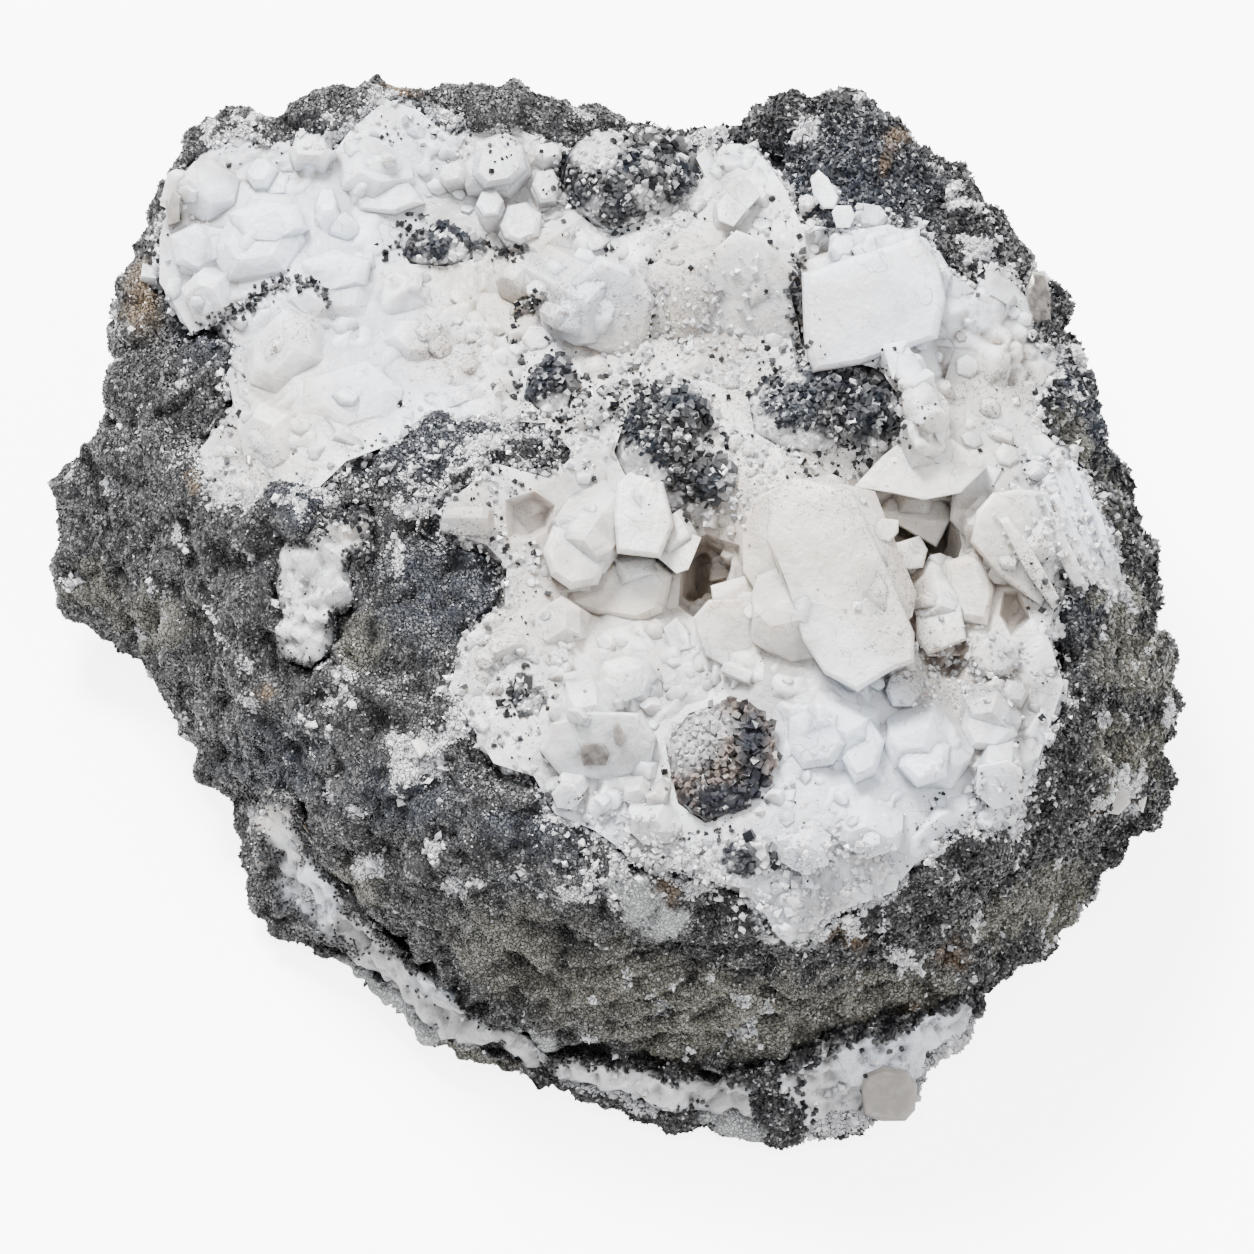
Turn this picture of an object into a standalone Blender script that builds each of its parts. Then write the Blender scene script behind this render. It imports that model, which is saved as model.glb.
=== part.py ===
"""Tarnowitzite specimen: milky lead-bearing aragonite crystals over dark galena-bearing rock.

The specimen lies on its flat underside, +Z up. Its forms are laid out on the plane that a
viewer sees from the front and 60 degrees up: every outline and place below is a point of that
picture, and a relief gives each point its height. Lengths are millimetres until add_solid
writes them in metres.
"""

import math
import random
from collections import namedtuple

import bpy
import numpy as np
from mathutils import Vector, geometry, noise

# Driving dimensions, in millimetres
SPECIMEN_WIDTH = 111.3
ROCK_STEP = 5.1          # spacing of the rock's facets
CRUST_STEP = 6.4         # spacing of the crystal crust's facets
BED_STEP = 8.0           # spacing of the facets where crust and rock meet
FLANK_STEP = 6.0         # spacing of the facets on the rock's unseen flanks
VEIN_STEP = 2.6          # spacing of the vein's facets
VEIN_FLOOR_STEP = 4.0    # spacing of the facets under the vein and the druse patches
VEIN_BORDER_STEP = 5.0   # longest side along the vein's border
PATCH_STEP = 1.9         # spacing of a druse patch's facets
PATCH_BORDER_STEP = 2.6  # longest side along a druse patch's border
BASE_STEP = 8.0          # spacing of the corners round the flat base
ROCK_LUMPS = 3.6         # height of the rock's lumps where it is seen
ROCK_LUMP_SIZE = 9.0
FLANK_LUMPS = 4.4        # height of the lumps on its unseen flanks
FLANK_LUMP_SIZE = 13.0
CRUST_LUMPS = 0.7        # height of the crust's swellings
CRUST_LUMP_SIZE = 11.0
VEIN_LUMPS = 0.7         # height of the vein's swellings
VEIN_LUMP_SIZE = 4.0
PATCH_LUMPS = 1.0        # height of the lumps on a druse patch
PATCH_LUMP_SIZE = 1.7
CRUST_EDGE = 3.2         # thickness of the crust at its border
CRUST_HEART = 11.0       # thickness of the crust in its middle
CRUST_FEATHER = 14.0     # distance from border to full thickness
VEIN_EDGE = 2.2          # thickness of the vein at its border
VEIN_HEART = 3.6         # thickness of the vein in its middle
VEIN_FEATHER = 3.0       # distance from border to full thickness
PROUD = 0.5              # how far the vein and the druse patches stand out of what carries them
PATCH_SINK = 1.3         # how deep a druse patch is rooted in what carries it
ROOT_CLEARANCE = 0.6     # how far a crystal's root stays above the crust's bed
FIT_GAP = 0.3            # gap between touching solids
LOWEST_EDGE = 2.4        # lowest height of the outline above the resting face
ABOVE_ALL = 90.0         # a depth above every form, for cutters

# The unseen flanks below the outline: how far down from outline to base (0 to 1), and how far
# outside the outline (or inside, if negative) they run at the back and elsewhere
FLANK_PROFILE = [(0, 0, 0), (0.2, 2.4, -0.4), (0.46, 3.0, -1.4), (0.76, 1.0, -3.0), (1, -3.4, -5.5)]
# Flat breaks on the flanks: the direction each faces (degrees from +X), how far it leans back
# from upright (degrees, negative overhangs), and how far inside the rim's reach it lies at its
# middle height
FLANK_BREAKS = [(68, -9, 0.4), (104, 4, -0.6), (141, -12, 0.6), (22, -6, 0.2)]
BREAK_MIDDLE = 20.0      # height at which a break's reach is measured
FULL_LUMPS_ABOVE = 20.0  # rim height from which the flank below has its full lumps
RIM_FOLLOWED = 0.2       # how far down a first row of corners follows the jagged rim
SOFTENINGS = 12          # passes that turn the jagged rim into the base's softer outline
FLANK_TRIES = 6000       # places tried for the corners between rim and base

# The picture plane
VIEW_ELEVATION = math.radians(60)
PICTURE_MIDDLE_PX = 627
OUTLINE_WIDTH_PX = 1113
PIXEL = SPECIMEN_WIDTH / OUTLINE_WIDTH_PX
RIGHT = Vector((1, 0, 0))
UP = Vector((0, math.sin(VIEW_ELEVATION), math.cos(VIEW_ELEVATION)))
TOWARD = Vector((0, -math.cos(VIEW_ELEVATION), math.sin(VIEW_ELEVATION)))

# Outline of the whole specimen, clockwise from the top left, in pixels
OUTLINE_PX = [
    (378, 71), (324, 88), (292, 101), (271, 110), (246, 106), (204, 114), (191, 130), (193, 142),
    (175, 153), (161, 168), (151, 189), (146, 221), (142, 248), (139, 264), (127, 278), (130, 307),
    (131, 342), (111, 382), (99, 414), (78, 441), (74, 468), (78, 488), (67, 529), (55, 566),
    (54, 590), (70, 604), (84, 618), (90, 634), (107, 648), (145, 668), (153, 684), (166, 703),
    (182, 732), (201, 759), (217, 790), (232, 818), (242, 834), (244, 893), (254, 908), (267, 922),
    (302, 946), (339, 960), (358, 979), (366, 992), (393, 1003), (420, 1032), (455, 1054),
    (479, 1071), (500, 1080), (535, 1078), (562, 1091), (596, 1102), (618, 1110), (667, 1123),
    (705, 1132), (748, 1135), (788, 1142), (804, 1142), (828, 1132), (857, 1126), (881, 1116),
    (908, 1118), (914, 1107), (916, 1086), (937, 1056), (958, 1043), (978, 1024), (998, 1002),
    (1000, 986), (1014, 973), (1049, 944), (1071, 922), (1072, 898), (1089, 871), (1121, 847),
    (1148, 828), (1164, 804), (1166, 786), (1157, 756), (1167, 716), (1166, 681), (1167, 657),
    (1160, 636), (1147, 609), (1142, 585), (1151, 566), (1144, 551), (1134, 542), (1123, 515),
    (1124, 467), (1113, 427), (1088, 377), (1083, 361), (1059, 345), (1049, 329), (1048, 299),
    (1037, 278), (1016, 245), (994, 213), (975, 189), (946, 170), (935, 149), (906, 125),
    (874, 112), (847, 102), (815, 106), (770, 105), (754, 117), (745, 128), (695, 134), (679, 128),
    (630, 128), (609, 112), (587, 105), (539, 89), (510, 90), (478, 81), (440, 86), (400, 77),
]

# Heights above the resting face, in millimetres, at pixels of the picture
OUTLINE_HEIGHTS = [
    (378, 71, 44), (478, 81, 44), (587, 105, 43), (695, 134, 40), (770, 105, 44), (847, 102, 45),
    (946, 170, 43), (1016, 245, 39), (1048, 299, 37), (1088, 377, 35), (1124, 467, 30),
    (1151, 566, 25), (1167, 657, 22), (1157, 756, 17), (1165, 785, 14), (1148, 828, 9),
    (1089, 871, 7), (1072, 898, 6), (999, 990, 5), (937, 1056, 5), (915, 1085, 5), (881, 1116, 4),
    (803, 1142, 2.5), (705, 1132, 2.5), (596, 1102, 2.5), (500, 1080, 2.5), (420, 1032, 3),
    (339, 960, 3.5), (244, 893, 4), (232, 818, 5), (182, 732, 6), (145, 668, 6), (88, 636, 6),
    (54, 590, 10), (67, 529, 16), (74, 468, 21), (99, 414, 26), (131, 342, 32), (142, 248, 36),
    (161, 168, 39), (204, 114, 41), (292, 101, 43),
]
TOP_HEIGHTS = [
    (378, 95, 44), (250, 125, 42), (477, 105, 44), (600, 125, 43), (720, 145, 41), (850, 120, 46),
    (930, 170, 45), (1000, 240, 42), (1035, 310, 39), (870, 160, 48), (850, 200, 47),
    (930, 230, 46), (250, 200, 42), (300, 250, 42), (400, 200, 41), (200, 280, 40), (350, 330, 41),
    (300, 400, 41), (250, 450, 38), (400, 400, 40), (480, 280, 39), (560, 280, 40), (600, 330, 41),
    (700, 250, 43), (760, 300, 42), (870, 300, 44), (960, 330, 42), (1020, 380, 40), (650, 420, 42),
    (700, 480, 40), (560, 430, 41), (800, 420, 42), (830, 500, 42), (780, 600, 43), (850, 650, 42),
    (700, 650, 38), (600, 680, 37), (520, 640, 38), (640, 560, 34), (700, 590, 33), (880, 520, 35),
    (930, 600, 34), (950, 650, 35), (1000, 560, 39), (1050, 540, 38), (1090, 560, 36),
    (1100, 620, 35), (1130, 700, 28), (1090, 780, 28), (1040, 760, 34), (980, 740, 36),
    (600, 750, 38), (700, 760, 38), (800, 780, 39), (900, 780, 38), (960, 800, 36),
    (850, 850, 37), (760, 880, 36), (680, 860, 36), (600, 820, 36),
]
FLANK_HEIGHTS = [
    (300, 500, 40), (390, 470, 42), (480, 440, 43), (550, 450, 42), (430, 560, 41), (480, 600, 40),
    (400, 650, 38), (450, 720, 36), (240, 380, 38), (180, 350, 36), (150, 420, 30), (200, 480, 34),
    (230, 560, 33), (120, 500, 22), (100, 580, 14), (180, 600, 24), (250, 650, 28), (200, 700, 17),
    (300, 720, 28), (350, 680, 34), (270, 800, 18), (350, 800, 27), (430, 780, 34), (500, 820, 34),
    (300, 870, 11), (400, 880, 22), (500, 900, 27), (600, 900, 31), (350, 930, 8), (430, 970, 12),
    (520, 980, 16), (620, 980, 20), (700, 960, 25), (800, 980, 23), (900, 930, 27), (980, 880, 26),
    (1050, 850, 20), (1110, 800, 20), (550, 1040, 9), (650, 1050, 11), (750, 1060, 10),
    (850, 1010, 15), (930, 990, 12), (980, 970, 12), (1040, 910, 10), (600, 1085, 5),
    (700, 1100, 5), (800, 1110, 5), (870, 1090, 6),
]

# Border of the white crystal crust, clockwise
CRUST_PX = [
    (174, 190), (205, 150), (240, 140), (270, 152), (335, 152), (352, 128), (387, 100), (418, 110),
    (453, 140), (480, 128), (520, 130), (563, 148), (640, 152), (690, 154), (722, 150), (745, 148),
    (765, 160), (785, 190), (800, 225), (850, 232), (887, 226), (925, 240), (945, 272), (975, 292),
    (990, 262), (1014, 278), (1028, 305), (1030, 340), (1062, 365), (1050, 385), (1034, 402),
    (1040, 435), (1060, 455), (1082, 472), (1096, 520), (1114, 556), (1120, 590), (1100, 602),
    (1082, 580), (1052, 604), (1044, 636), (1060, 684), (1048, 719), (1035, 756), (1018, 802),
    (1008, 835), (960, 825), (919, 852), (889, 890), (828, 911), (788, 938), (740, 885),
    (694, 874), (640, 860), (595, 828), (556, 812), (535, 775), (495, 762), (468, 716), (450, 689),
    (468, 636), (506, 606), (508, 566), (487, 545), (442, 530), (447, 507), (495, 464), (551, 480),
    (575, 455), (546, 424), (482, 421), (434, 421), (390, 446), (348, 462), (321, 488), (284, 488),
    (254, 510), (215, 512), (201, 450), (236, 409), (228, 374), (241, 350), (215, 325), (192, 334),
    (175, 305), (160, 283), (160, 262), (160, 237),
]
CALCITE_POCKET_PX = [
    (303, 547), (320, 522), (368, 515), (375, 545), (346, 553), (346, 577), (359, 598), (335, 612),
    (332, 636), (316, 662), (289, 657), (284, 600), (281, 565),
]
VEIN_PX = [
    (268, 790), (298, 800), (335, 870), (400, 950), (455, 1000), (550, 1052), (640, 1068),
    (720, 1080), (800, 1052), (860, 1032), (930, 1012), (980, 1000), (974, 1012), (952, 1032),
    (926, 1050), (902, 1086), (872, 1100), (840, 1112), (800, 1122), (700, 1108), (600, 1084),
    (540, 1066), (470, 1036), (425, 1012), (395, 985), (350, 955), (315, 935), (275, 890),
    (264, 840),
]

# Druse patches on the crust: name, outline in pixels, rise in millimetres
PATCHES = [
    ("galena_patch_centre_left", 2.2, [
        (617, 452), (632, 410), (660, 385), (700, 392), (712, 420), (700, 450), (735, 470),
        (728, 500), (690, 498), (668, 515), (640, 492), (625, 470)]),
    ("galena_patch_centre_right", 2.0, [
        (750, 400), (780, 372), (835, 362), (872, 372), (908, 395), (905, 425), (880, 448),
        (845, 440), (815, 452), (780, 446), (757, 432)]),
    ("galena_patch_top", 4.2, [
        (560, 172), (575, 148), (605, 134), (650, 138), (688, 146), (690, 172), (684, 208),
        (652, 214), (628, 224), (598, 226), (572, 206)]),
    ("sphalerite_patch_low", 1.8, [
        (668, 745), (690, 715), (730, 702), (765, 722), (770, 765), (745, 800), (705, 818),
        (680, 800)]),
    ("galena_patch_upper_left", 1.0, [
        (403, 248), (420, 232), (452, 228), (480, 240), (478, 256), (445, 264), (412, 262)]),
    ("galena_patch_ridge_end", 1.5, [
        (527, 396), (536, 368), (560, 362), (573, 384), (568, 408), (545, 414)]),
    ("galena_patch_low_left", 1.0, [
        (515, 700), (518, 680), (534, 674), (544, 690), (538, 712), (522, 714)]),
    ("galena_patch_low_right", 1.2, [
        (725, 850), (738, 834), (764, 838), (768, 860), (745, 872), (728, 866)]),
]

# A crystal: the middle of its end face as seen (pixels), its width and length, how far its axis
# leans from the line of sight and toward which way of the picture (degrees, 0 right, 90 up),
# how far the end stands out of the crust, its narrow side over its wide side, its turn about
# its axis, and how rounded its end is (0 sharp, 1 dome)
Crystal = namedtuple("Crystal", "x y width length lean toward lift flat turn dome")
CRYSTALS = [
    # upper left lobe: blunt rounded crystals under the dark rim
    Crystal(212, 176, 7.6, 9, 38, 70, 2.6, 0.9, 10, 0.7),
    Crystal(260, 170, 3.4, 6, 30, 120, 1.8, 1.0, 0, 0.6),
    Crystal(312, 144, 4.9, 8, 30, 95, 2.6, 0.9, 20, 0.45),
    Crystal(256, 240, 11.5, 9, 22, 110, 1.9, 0.85, 15, 1.0),
    Crystal(196, 250, 6.4, 7, 35, 160, 1.6, 0.9, 0, 0.6),
    Crystal(327, 203, 4.6, 6, 25, 90, 1.0, 0.55, 90, 0.5),
    Crystal(329, 223, 4.0, 6, 15, 270, 0.9, 0.7, 90, 0.5),
    Crystal(385, 165, 9.0, 9, 40, 60, 1.2, 0.7, 25, 0.5),
    Crystal(206, 306, 6.6, 8, 30, 220, 1.4, 0.9, 10, 0.6),
    Crystal(335, 290, 11.0, 9, 20, 60, 1.3, 0.8, 10, 1.0),
    # left lobe: broad milky masses
    Crystal(275, 350, 10.5, 9, 30, 150, 1.5, 0.85, 10, 1.0),
    Crystal(355, 400, 12.5, 10, 15, 80, 1.5, 0.85, 0, 1.0),
    Crystal(262, 445, 8.0, 9, 30, 200, 1.4, 0.9, 20, 0.6),
    Crystal(414, 336, 6.0, 7, 30, 70, 1.4, 0.8, 0, 0.6),
    # row of blunt hexagonal ends left of the dark lump
    Crystal(451, 172, 3.2, 7, 30, 130, 2.2, 0.95, 0, 0.6),
    Crystal(494, 163, 7.4, 10, 25, 100, 2.6, 0.85, 12, 0.35),
    Crystal(489, 205, 3.1, 8, 40, 110, 2.6, 0.9, 20, 0.2),
    Crystal(519, 224, 4.9, 9, 30, 120, 2.6, 0.9, 8, 0.35),
    Crystal(546, 188, 3.2, 7, 25, 95, 2.0, 0.9, 25, 0.5),
    Crystal(549, 150, 3.0, 7, 30, 80, 1.8, 0.8, 0, 0.5),
    Crystal(508, 290, 4.2, 9, 50, 225, 1.9, 0.95, 0, 0.4),
    Crystal(533, 262, 5.4, 9, 60, 215, 1.2, 0.9, 10, 0.2),
    # the large block and the big tilted prisms of the upper middle
    Crystal(584, 268, 6.0, 10, 40, 100, 2.4, 0.8, 0, 0.4),
    Crystal(611, 316, 9.2, 16, 40, 330, 3.2, 0.95, 12, 0.3),
    Crystal(558, 330, 6.5, 9, 35, 215, 1.4, 0.9, 0, 0.5),
    Crystal(704, 258, 16.0, 24, 66, 98, 1.6, 0.6, 30, 0.25),
    Crystal(768, 270, 9.0, 20, 60, 75, 2.0, 0.8, 0, 0.25),
    Crystal(731, 205, 3.7, 10, 45, 85, 2.4, 0.85, 15, 0.1),
    Crystal(731, 160, 3.2, 7, 50, 80, 1.0, 0.7, 0, 0.2),
    Crystal(858, 316, 13.5, 16, 16, 150, 3.4, 0.85, 26, 0.1),
    Crystal(905, 300, 8.0, 12, 25, 60, 2.6, 0.9, 0, 0.5),
    Crystal(966, 318, 6.4, 9, 20, 60, 1.8, 0.9, 0, 0.9),
    Crystal(1010, 360, 5.6, 8, 25, 330, 1.6, 0.9, 0, 0.6),
    Crystal(1000, 290, 5.2, 8, 35, 40, 1.6, 0.8, 0, 0.7),
    # small free crystals under the upper right dark mass
    Crystal(842, 246, 2.8, 6, 30, 70, 1.2, 0.9, 0, 0.3),
    Crystal(885, 244, 3.6, 7, 40, 95, 2.2, 0.8, 0, 0.0),
    Crystal(911, 250, 3.4, 7, 40, 80, 1.8, 0.8, 0, 0.0),
    # around the middle hollows
    Crystal(492, 521, 3.2, 9, 70, 0, 1.6, 0.85, 0, 0.5),
    Crystal(574, 556, 7.4, 11, 45, 235, 3.2, 0.95, 10, 0.5),
    Crystal(638, 592, 6.8, 9, 30, 300, 2.0, 0.95, 5, 0.6),
    Crystal(645, 522, 6.6, 12, 50, 280, 4.6, 0.9, 0, 0.4),
    Crystal(681, 552, 4.6, 10, 50, 300, 5.4, 0.8, 20, 0.0),
    Crystal(632, 458, 6.0, 8, 30, 250, 1.4, 0.9, 0, 0.8),
    Crystal(626, 680, 7.6, 9, 35, 100, 2.2, 0.9, 0, 0.5),
    Crystal(595, 742, 11.0, 10, 25, 285, 2.0, 0.6, 90, 0.2),
    Crystal(567, 790, 3.4, 6, 30, 230, 1.4, 0.9, 0, 0.8),
    Crystal(636, 796, 3.0, 6, 30, 260, 1.2, 0.9, 0, 0.5),
    Crystal(675, 632, 3.0, 6, 30, 110, 1.6, 0.9, 0, 0.5),
    Crystal(551, 622, 6.2, 8, 25, 150, 1.6, 0.9, 0, 0.8),
    # the big slab right of the middle and the shelf above the right hollow
    Crystal(862, 640, 15.0, 24, 62, 292, 3.0, 0.55, 30, 0.25),
    Crystal(795, 640, 12.0, 14, 30, 250, 2.2, 0.8, 10, 0.8),
    Crystal(928, 478, 15.0, 12, 60, 285, 4.6, 0.4, 90, 0.3),
    Crystal(812, 500, 9.0, 10, 30, 120, 1.8, 0.8, 0, 0.8),
    # crystals in and beside the right hollow
    Crystal(914, 518, 6.8, 8, 45, 270, 0.6, 0.7, 90, 0.4),
    Crystal(883, 531, 2.8, 6, 45, 45, 1.8, 0.8, 0, 0.4),
    Crystal(905, 554, 4.6, 8, 45, 30, 2.6, 0.75, 90, 0.4),
    Crystal(984, 512, 6.0, 12, 35, 110, 2.4, 0.85, 0, 0.4),
    Crystal(1010, 535, 9.0, 16, 42, 140, 4.0, 0.9, 5, 0.2),
    Crystal(962, 577, 4.4, 8, 30, 110, 2.2, 0.9, 0, 0.7),
    Crystal(938, 622, 5.0, 8, 35, 280, 3.4, 0.95, 0, 0.2),
    Crystal(993, 655, 5.2, 7, 20, 0, 2.0, 0.8, 0, 0.9),
    Crystal(1052, 476, 3.0, 14, 60, 118, 2.4, 0.8, 0, 0.1),
    Crystal(1068, 494, 3.6, 15, 60, 115, 2.6, 0.7, 20, 0.1),
    Crystal(1084, 520, 3.6, 13, 60, 112, 2.0, 0.8, 0, 0.1),
    Crystal(1058, 520, 4.0, 13, 60, 120, 2.2, 0.8, 10, 0.1),
    # lumpy lower right and the white shoulder below the slab
    Crystal(900, 686, 4.8, 7, 25, 90, 1.6, 0.9, 0, 0.6),
    Crystal(984, 726, 6.4, 8, 25, 250, 1.6, 0.9, 0, 0.9),
    Crystal(1012, 690, 3.2, 6, 25, 60, 1.4, 0.9, 0, 0.7),
    Crystal(992, 784, 5.6, 8, 35, 265, 2.2, 0.8, 90, 0.2),
    Crystal(915, 765, 10.0, 9, 25, 250, 1.6, 0.9, 0, 0.9),
    Crystal(825, 742, 10.0, 9, 20, 220, 1.4, 0.9, 0, 1.0),
    Crystal(865, 840, 7.0, 8, 30, 265, 1.6, 0.8, 0, 0.7),
    Crystal(800, 855, 6.0, 7, 30, 260, 1.2, 0.8, 0, 0.7),
    Crystal(650, 830, 6.0, 7, 30, 250, 1.2, 0.8, 0, 0.8),
]

# Hollows between the crystals: outline in pixels, depth in millimetres
HOLLOWS = [
    ([(505, 500), (535, 492), (556, 506), (552, 530), (530, 543), (508, 540)], 2.4),
    ([(682, 545), (706, 534), (740, 545), (744, 580), (728, 612), (700, 624), (678, 606)], 6.5),
    ([(560, 592), (610, 590), (628, 604), (600, 618), (568, 612)], 2.0),
    ([(853, 500), (900, 494), (950, 500), (960, 545), (945, 600), (925, 592), (890, 580)], 4.5),
    ([(905, 625), (925, 656), (968, 655), (960, 682), (925, 678)], 3.0),
    ([(1000, 590), (1016, 588), (1030, 620), (1008, 640), (996, 615)], 2.5),
    ([(787, 262), (800, 262), (803, 330), (806, 372), (796, 372), (786, 320)], 6.0),
    ([(803, 236), (826, 226), (852, 236), (856, 252), (806, 262)], 3.0),
]

MATERIALS = {
    "matrix_rock": ((0.13, 0.13, 0.135), 0.6, 0.25),
    "crystal_crust": ((0.84, 0.84, 0.85), 0.45, 0.0),
    "calcite_pocket": ((0.72, 0.7, 0.66), 0.5, 0.0),
    "calcite_vein": ((0.74, 0.75, 0.74), 0.5, 0.0),
    "druse": ((0.2, 0.21, 0.23), 0.45, 0.4),
}

CHOICE = random.Random(58)


def on_picture(pixels):
    """Pixels of the picture as (u, v) millimetres right of and above its middle."""
    points = np.array(pixels, dtype=float)[:, :2]
    offsets = points - PICTURE_MIDDLE_PX
    return np.c_[offsets[:, 0] * PIXEL, -offsets[:, 1] * PIXEL]


def depth_of_height(points, heights):
    """Depth along the line of sight of points that lie at the given heights."""
    return (np.array(heights) - points[:, 1] * UP.z) / TOWARD.z


def in_space(point, depth):
    """World position of a point of the picture at a depth along the line of sight."""
    return RIGHT * point[0] + UP * point[1] + TOWARD * depth


def fit_relief(spots):
    """A thin-plate surface through spots (u, v, depth), as a function of an array of points."""
    places = spots[:, :2]
    count = len(places)

    def bending(points):
        distance = np.linalg.norm(points[:, None] - places[None], axis=2)
        return distance ** 2 * np.log(distance + 1e-9)

    plane = np.c_[np.ones(count), places]
    system = np.zeros((count + 3, count + 3))
    system[:count, :count] = bending(places) + 4.0 * np.eye(count)
    system[:count, count:] = plane
    system[count:, :count] = plane.T
    weights = np.linalg.solve(system, np.r_[spots[:, 2], np.zeros(3)])

    def relief(points):
        flat = np.c_[np.ones(len(points)), points]
        return bending(points) @ weights[:count] + flat @ weights[count:]

    return relief


def lumps(points, size, height, seed):
    """Smooth uneven swellings of about the given size, at points of the picture or in space."""
    places = np.c_[points, np.zeros(len(points))][:, :3] / size + (0, 0, seed)
    return height * np.array([noise.fractal(Vector(place), 0.9, 2.1, 2) for place in places])


def counter_clockwise(loop):
    x, y = loop[:, 0], loop[:, 1]
    area = np.sum(x * np.roll(y, -1) - np.roll(x, -1) * y)
    return loop if area > 0 else loop[::-1]


def resample(loop, step):
    """The loop with long sides divided, so that its points are at most step apart."""
    points = []
    for start, end in zip(loop, np.roll(loop, -1, axis=0)):
        parts = max(1, math.ceil(np.linalg.norm(end - start) / step))
        points += [start + (end - start) * k / parts for k in range(parts)]
    return np.array(points)


def outward(loop):
    """Unit normals of a counter-clockwise loop, pointing out of it."""
    along = np.roll(loop, -1, axis=0) - np.roll(loop, 1, axis=0)
    along /= np.linalg.norm(along, axis=1)[:, None]
    return np.c_[along[:, 1], -along[:, 0]]


def edge_distance(points, loop):
    """Distance from each point to the loop."""
    start, end = loop, np.roll(loop, -1, axis=0)
    side = end - start
    along = np.einsum("psk,sk->ps", points[:, None] - start[None], side)
    along = np.clip(along / np.sum(side ** 2, axis=1), 0, 1)
    nearest = start[None] + along[:, :, None] * side[None]
    return np.linalg.norm(points[:, None] - nearest, axis=2).min(axis=1)


def is_inside(points, loop):
    start, end = loop, np.roll(loop, -1, axis=0)
    crosses = (start[None, :, 1] > points[:, None, 1]) != (end[None, :, 1] > points[:, None, 1])
    rise = np.where(end[:, 1] == start[:, 1], 1e-9, end[:, 1] - start[:, 1])
    at = start[:, 0] + (points[:, None, 1] - start[:, 1]) * (end[:, 0] - start[:, 0]) / rise
    return (crosses & (points[:, None, 0] < at)).sum(axis=1) % 2 == 1


def inner_points(loop, step):
    """Points on an uneven triangular grid inside the loop, clear of its edge."""
    low, high = loop.min(axis=0), loop.max(axis=0)
    rows = math.ceil((high[1] - low[1]) / (step * 0.87))
    columns = math.ceil((high[0] - low[0]) / step)
    grid = []
    for row in range(rows + 1):
        for column in range(columns + 1):
            jitter = (CHOICE.uniform(-0.22, 0.22), CHOICE.uniform(-0.22, 0.22))
            grid.append((low[0] + step * (column + 0.5 * (row % 2) + jitter[0]),
                         low[1] + step * (row * 0.87 + jitter[1])))
    grid = np.array(grid)
    keep = is_inside(grid, loop) & (edge_distance(grid, loop) > step * 0.55)
    return grid[keep]


def triangulate(loops, inner):
    """Triangles, counter-clockwise, over the points in a loop, or between it and one inside it."""
    points = [Vector(p) for part in (*loops, inner) for p in part]
    edges = []
    for loop in loops:
        first = len(edges)
        edges += [(first + i, first + (i + 1) % len(loop)) for i in range(len(loop))]
    placed, _, faces, *_ = geometry.delaunay_2d_cdt(points, edges, [], 1, 1e-6)
    assert len(placed) == len(points)
    faces = np.array(faces)
    for hole in loops[1:]:
        faces = faces[~is_inside(np.array(points)[faces].mean(axis=1), hole)]
    return [tuple(face) for face in faces.tolist()]


def slab(loop, top, bottom, top_inner, bottom_inner, grow=0.0, drop=0.0):
    """Closed body between two reliefs over a loop, its walls along the line of sight.

    grow moves the walls out and drop lowers the bottom, which makes the matching pocket.
    """
    edge = loop + grow * outward(loop)
    corners = []
    sheets = []
    for inner, relief, lower in ((top_inner, top, 0.0), (bottom_inner, bottom, drop)):
        points = np.r_[edge, inner] if len(inner) else edge
        sheets.append((len(corners), triangulate([loop], inner)))
        corners += [in_space(p, d) for p, d in zip(points, relief(points) - lower)]
    (_, upper), (below, lower) = sheets
    faces = list(upper)
    faces += [tuple(below + i for i in reversed(face)) for face in lower]
    for i in range(len(loop)):
        j = (i + 1) % len(loop)
        faces += [(i, below + i, below + j), (i, below + j, j)]
    return corners, faces


def add_solid(name, corners, faces, material=None):
    """A mesh object, written in metres. Without a material it is a cutter."""
    mesh = bpy.data.meshes.new(name)
    mesh.from_pydata([c * 0.001 for c in corners], [], faces)
    solid = bpy.data.objects.new(name, mesh)
    bpy.context.scene.collection.objects.link(solid)
    if material is None:
        solid.hide_render = True
        solid.display_type = "WIRE"
    else:
        mesh.materials.append(material)
    return solid


def make_material(name):
    colour, roughness, metallic = MATERIALS[name]
    material = bpy.data.materials.new(name)
    material.use_nodes = True
    shader = material.node_tree.nodes["Principled BSDF"]
    shader.inputs["Base Color"].default_value = (*colour, 1)
    shader.inputs["Roughness"].default_value = roughness
    shader.inputs["Metallic"].default_value = metallic
    return material


def combine(solid, operation, others, name):
    """Boolean of a solid with a group of others."""
    group = bpy.data.collections.new(name)
    bpy.context.scene.collection.children.link(group)
    for other in others:
        bpy.context.scene.collection.objects.unlink(other)
        group.objects.link(other)
    modifier = solid.modifiers.new(name, "BOOLEAN")
    modifier.operation = operation
    modifier.operand_type = "COLLECTION"
    modifier.collection = group
    modifier.solver = "EXACT"


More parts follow.
